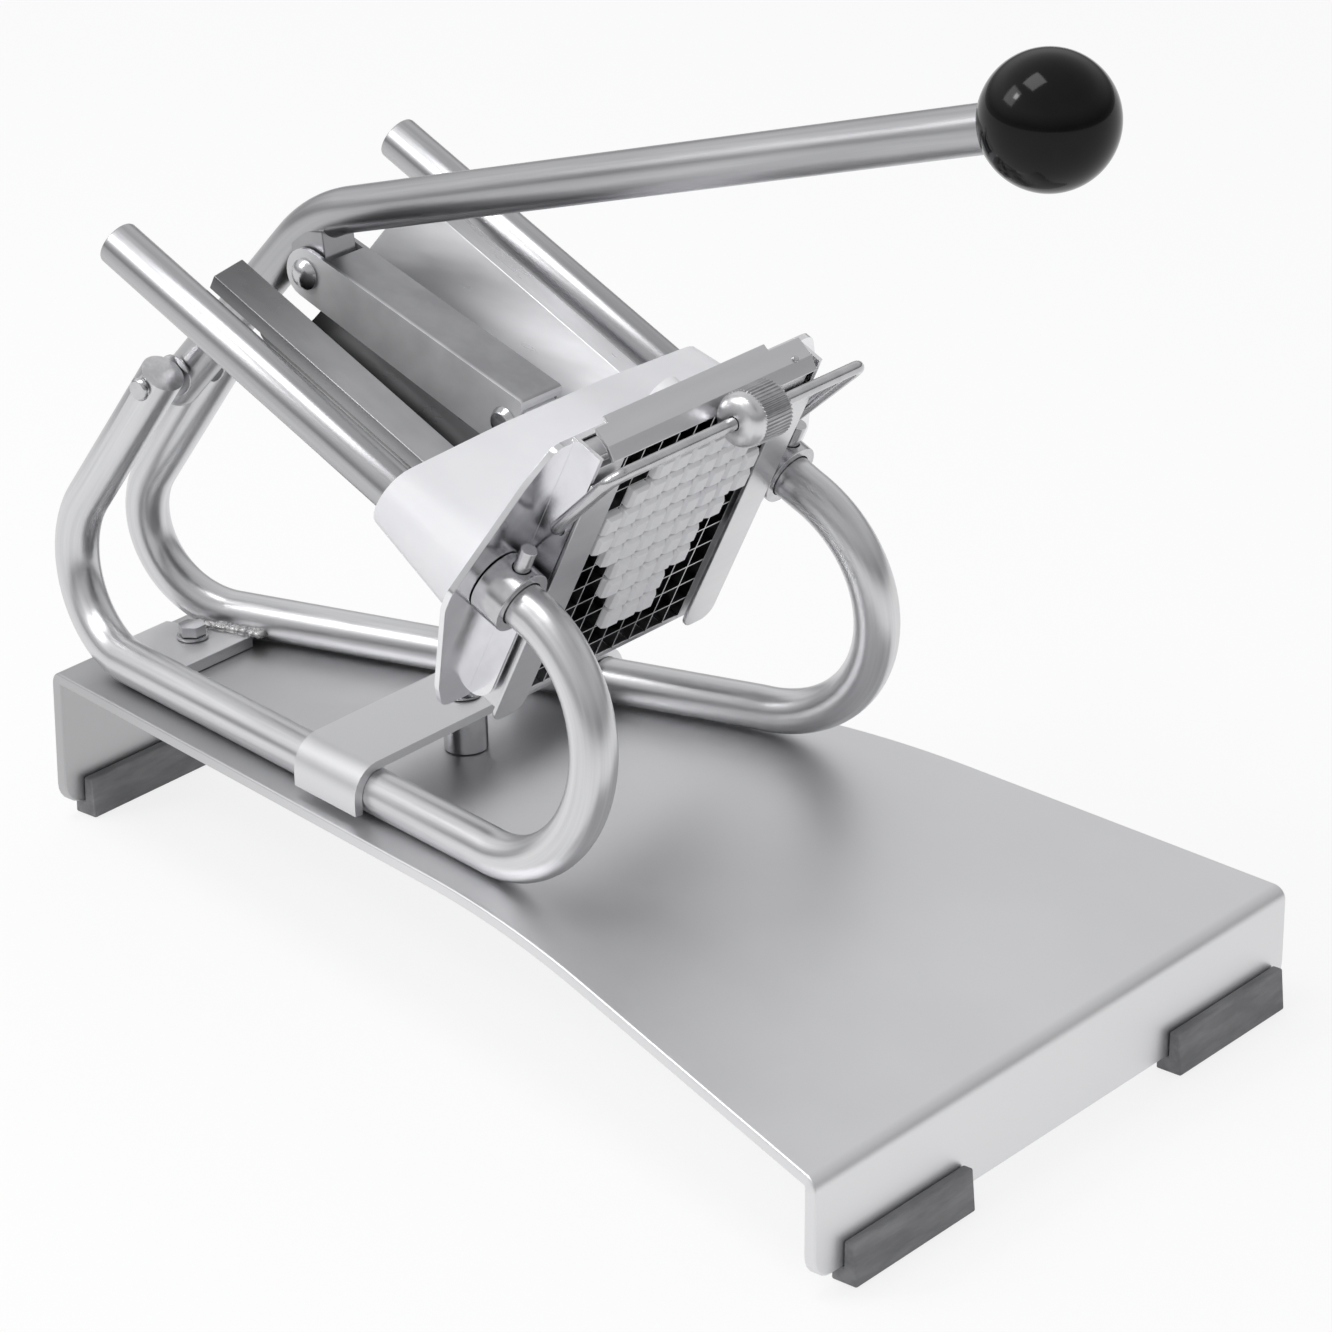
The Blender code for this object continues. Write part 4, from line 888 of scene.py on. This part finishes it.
def makeRivet():
    bpy.ops.mesh.primitive_cylinder_add(vertices=stripRivet["sides"],
                                        radius=stripRivet["radius"],
                                        depth=stripRivet["height"])
    rivet = bpy.context.object
    roundEdges(rivet, stripRivet["edge"], stripRivet["edgeSteps"])
    rivet.data.transform(onRods @ Matrix.Translation(stripRivet["place"])
                         @ Matrix.Rotation(math.radians(stripRivet["tilt"]), 4, "Y"))
    shade(rivet)
    dress(rivet, "stripRivet", "polishedFitting", bodyOf["cassette_top_strip"], "satin_steel")


makeRivet()


# weld beads between the rear cross plate and the tubes
weld = {"from": -0.2095, "to": -0.1822, "count": 13, "level": 0.0062, "inset": 0.0088,
        "radius": 0.0036, "squash": (0.95, 1.0, 0.62), "segments": 20, "rings": 12,
        "wander": 0.0003, "wanderStep": 2.1, "swell": 0.10, "swellStep": 3.7, "smooth": 60.0}


def makeWelds():
    s = weld
    for name, side in (("left", -1), ("right", 1)):
        bpy.ops.mesh.primitive_uv_sphere_add(segments=s["segments"], ring_count=s["rings"],
                                             radius=s["radius"])
        bead = bpy.context.object
        bead.data.transform(Matrix.Diagonal((*s["squash"], 1)))
        beads = []
        for index in range(s["count"]):
            x = s["from"] + (s["to"] - s["from"]) * index / (s["count"] - 1)
            wander = s["wander"] * math.sin(index * s["wanderStep"])
            swell = 1 + s["swell"] * math.sin(index * s["swellStep"])
            selectOnly(bead)
            bpy.ops.object.duplicate()
            copy = bpy.context.object
            copy.data.transform(
                Matrix.Translation((x, side * (runY(x) - s["inset"] + wander),
                                    baseTop(x) + s["level"]))
                @ Matrix.Rotation(-runAngle, 4, "Y") @ Matrix.Scale(swell, 4))
            beads.append(copy)
        bpy.data.objects.remove(bead)
        bpy.ops.object.select_all(action="DESELECT")
        for copy in beads:
            copy.select_set(True)
        bpy.context.view_layer.objects.active = beads[0]
        bpy.ops.object.join()
        seam = bpy.context.object
        shade(seam, s["smooth"])
        dress(seam, "weldBead_" + name, "weldMetal", "frame", "satin_steel")


makeWelds()
print("rivet and welds made")


# floor, world and lamps

studio = {"floorSize": 60.0, "floorZ": -0.0004, "floorColour": (0.93, 0.93, 0.935),
          "floorRough": 0.9, "floorGlow": 0.80, "background": 1.0, "skyLeft": 1.28,
          "skyRight": 0.72, "skyBlue": 1.01,
          "sky": ((0.0, 0.30), (0.10, 0.22), (0.28, 0.55), (0.45, 0.74), (0.70, 0.66),
                  (1.0, 0.60))}
bpy.ops.mesh.primitive_plane_add(size=studio["floorSize"], location=(0, 0, studio["floorZ"]))
floor = bpy.context.object  # glows a little for the camera and in reflections
floor.name = "floor"
floorPaint = bpy.data.materials.new("floorPaint")
floorPaint.use_nodes = True
floorTree = floorPaint.node_tree
floorShader = floorTree.nodes["Principled BSDF"]
floorShader.inputs["Base Color"].default_value = (*studio["floorColour"], 1)
floorShader.inputs["Roughness"].default_value = studio["floorRough"]
floorShader.inputs["Specular IOR Level"].default_value = 0.0
floorGlow = addNode(floorTree, "ShaderNodeEmission")
floorGlow.inputs["Color"].default_value = (1, 1, 1, 1)
floorPath = addNode(floorTree, "ShaderNodeLightPath")
seen = addNode(floorTree, "ShaderNodeMath", operation="MAXIMUM")
share = addNode(floorTree, "ShaderNodeMath", operation="MULTIPLY")
share.inputs[1].default_value = studio["floorGlow"]
floorMix = addNode(floorTree, "ShaderNodeMixShader")
floorTree.links.new(floorPath.outputs["Is Camera Ray"], seen.inputs[0])
floorTree.links.new(floorPath.outputs["Is Glossy Ray"], seen.inputs[1])
floorTree.links.new(seen.outputs[0], share.inputs[0])
floorTree.links.new(share.outputs[0], floorMix.inputs["Fac"])
floorTree.links.new(floorShader.outputs[0], floorMix.inputs[1])
floorTree.links.new(floorGlow.outputs[0], floorMix.inputs[2])
floorTree.links.new(floorMix.outputs[0], floorTree.nodes["Material Output"].inputs["Surface"])
floor.data.materials.append(floorPaint)

# the sky's strength by height lights the object, and the camera sees plain white
world = bpy.data.worlds.new("studio")
bpy.context.scene.world = world
world.use_nodes = True
skyTree = world.node_tree
skyTree.nodes.clear()
skyOut = addNode(skyTree, "ShaderNodeOutputWorld")
skyPath = addNode(skyTree, "ShaderNodeLightPath")
skyPlace = addNode(skyTree, "ShaderNodeTexCoord")
skySplit = addNode(skyTree, "ShaderNodeSeparateXYZ")
skyLevel = addNode(skyTree, "ShaderNodeValToRGB")
stops = skyLevel.color_ramp.elements
while len(stops) < len(studio["sky"]):
    stops.new(0.5)
for stop, (height, level) in zip(stops, studio["sky"]):
    stop.position = height
    stop.color = (level, level, level * studio["skyBlue"], 1)
skySide = addNode(skyTree, "ShaderNodeMapRange")
skySide.inputs["From Min"].default_value = -1.0
skySide.inputs["To Min"].default_value = studio["skyLeft"]
skySide.inputs["To Max"].default_value = studio["skyRight"]
skyLight = addNode(skyTree, "ShaderNodeBackground")
skyWhite = addNode(skyTree, "ShaderNodeBackground")
skyWhite.inputs["Strength"].default_value = studio["background"]
skyWhite.inputs["Color"].default_value = (1, 1, 1, 1)
skyMix = addNode(skyTree, "ShaderNodeMixShader")
skyTree.links.new(skyPlace.outputs["Generated"], skySplit.inputs[0])
skyTree.links.new(skySplit.outputs["Z"], skyLevel.inputs["Fac"])
skyTree.links.new(skySplit.outputs["X"], skySide.inputs["Value"])
skyTree.links.new(skySide.outputs["Result"], skyLight.inputs["Strength"])
skyTree.links.new(skyLevel.outputs["Color"], skyLight.inputs["Color"])
skyTree.links.new(skyPath.outputs["Is Camera Ray"], skyMix.inputs["Fac"])
skyTree.links.new(skyLight.outputs[0], skyMix.inputs[1])
skyTree.links.new(skyWhite.outputs[0], skyMix.inputs[2])
skyTree.links.new(skyMix.outputs[0], skyOut.inputs["Surface"])

lampAim = (0, 0, 0.18)
lamps = {"keyLamp": {"place": (-1.2, -1.3, 1.7), "size": 0.9, "power": 9.0},
         "smallKeyLamp": {"place": (-1.0, -1.5, 1.9), "size": 0.3, "power": 4.5},
         "topLamp": {"place": (-0.3, -0.6, 2.4), "size": 0.9, "power": 13.0}}
for name, values in lamps.items():
    aim = Vector(lampAim) - Vector(values["place"])
    bpy.ops.object.light_add(type="AREA", location=values["place"],
                             rotation=aim.to_track_quat("-Z", "Y").to_euler())
    lamp = bpy.context.object
    lamp.name = name
    lamp.data.size = values["size"]
    lamp.data.energy = values["power"]
print("floor, world and lamps made")
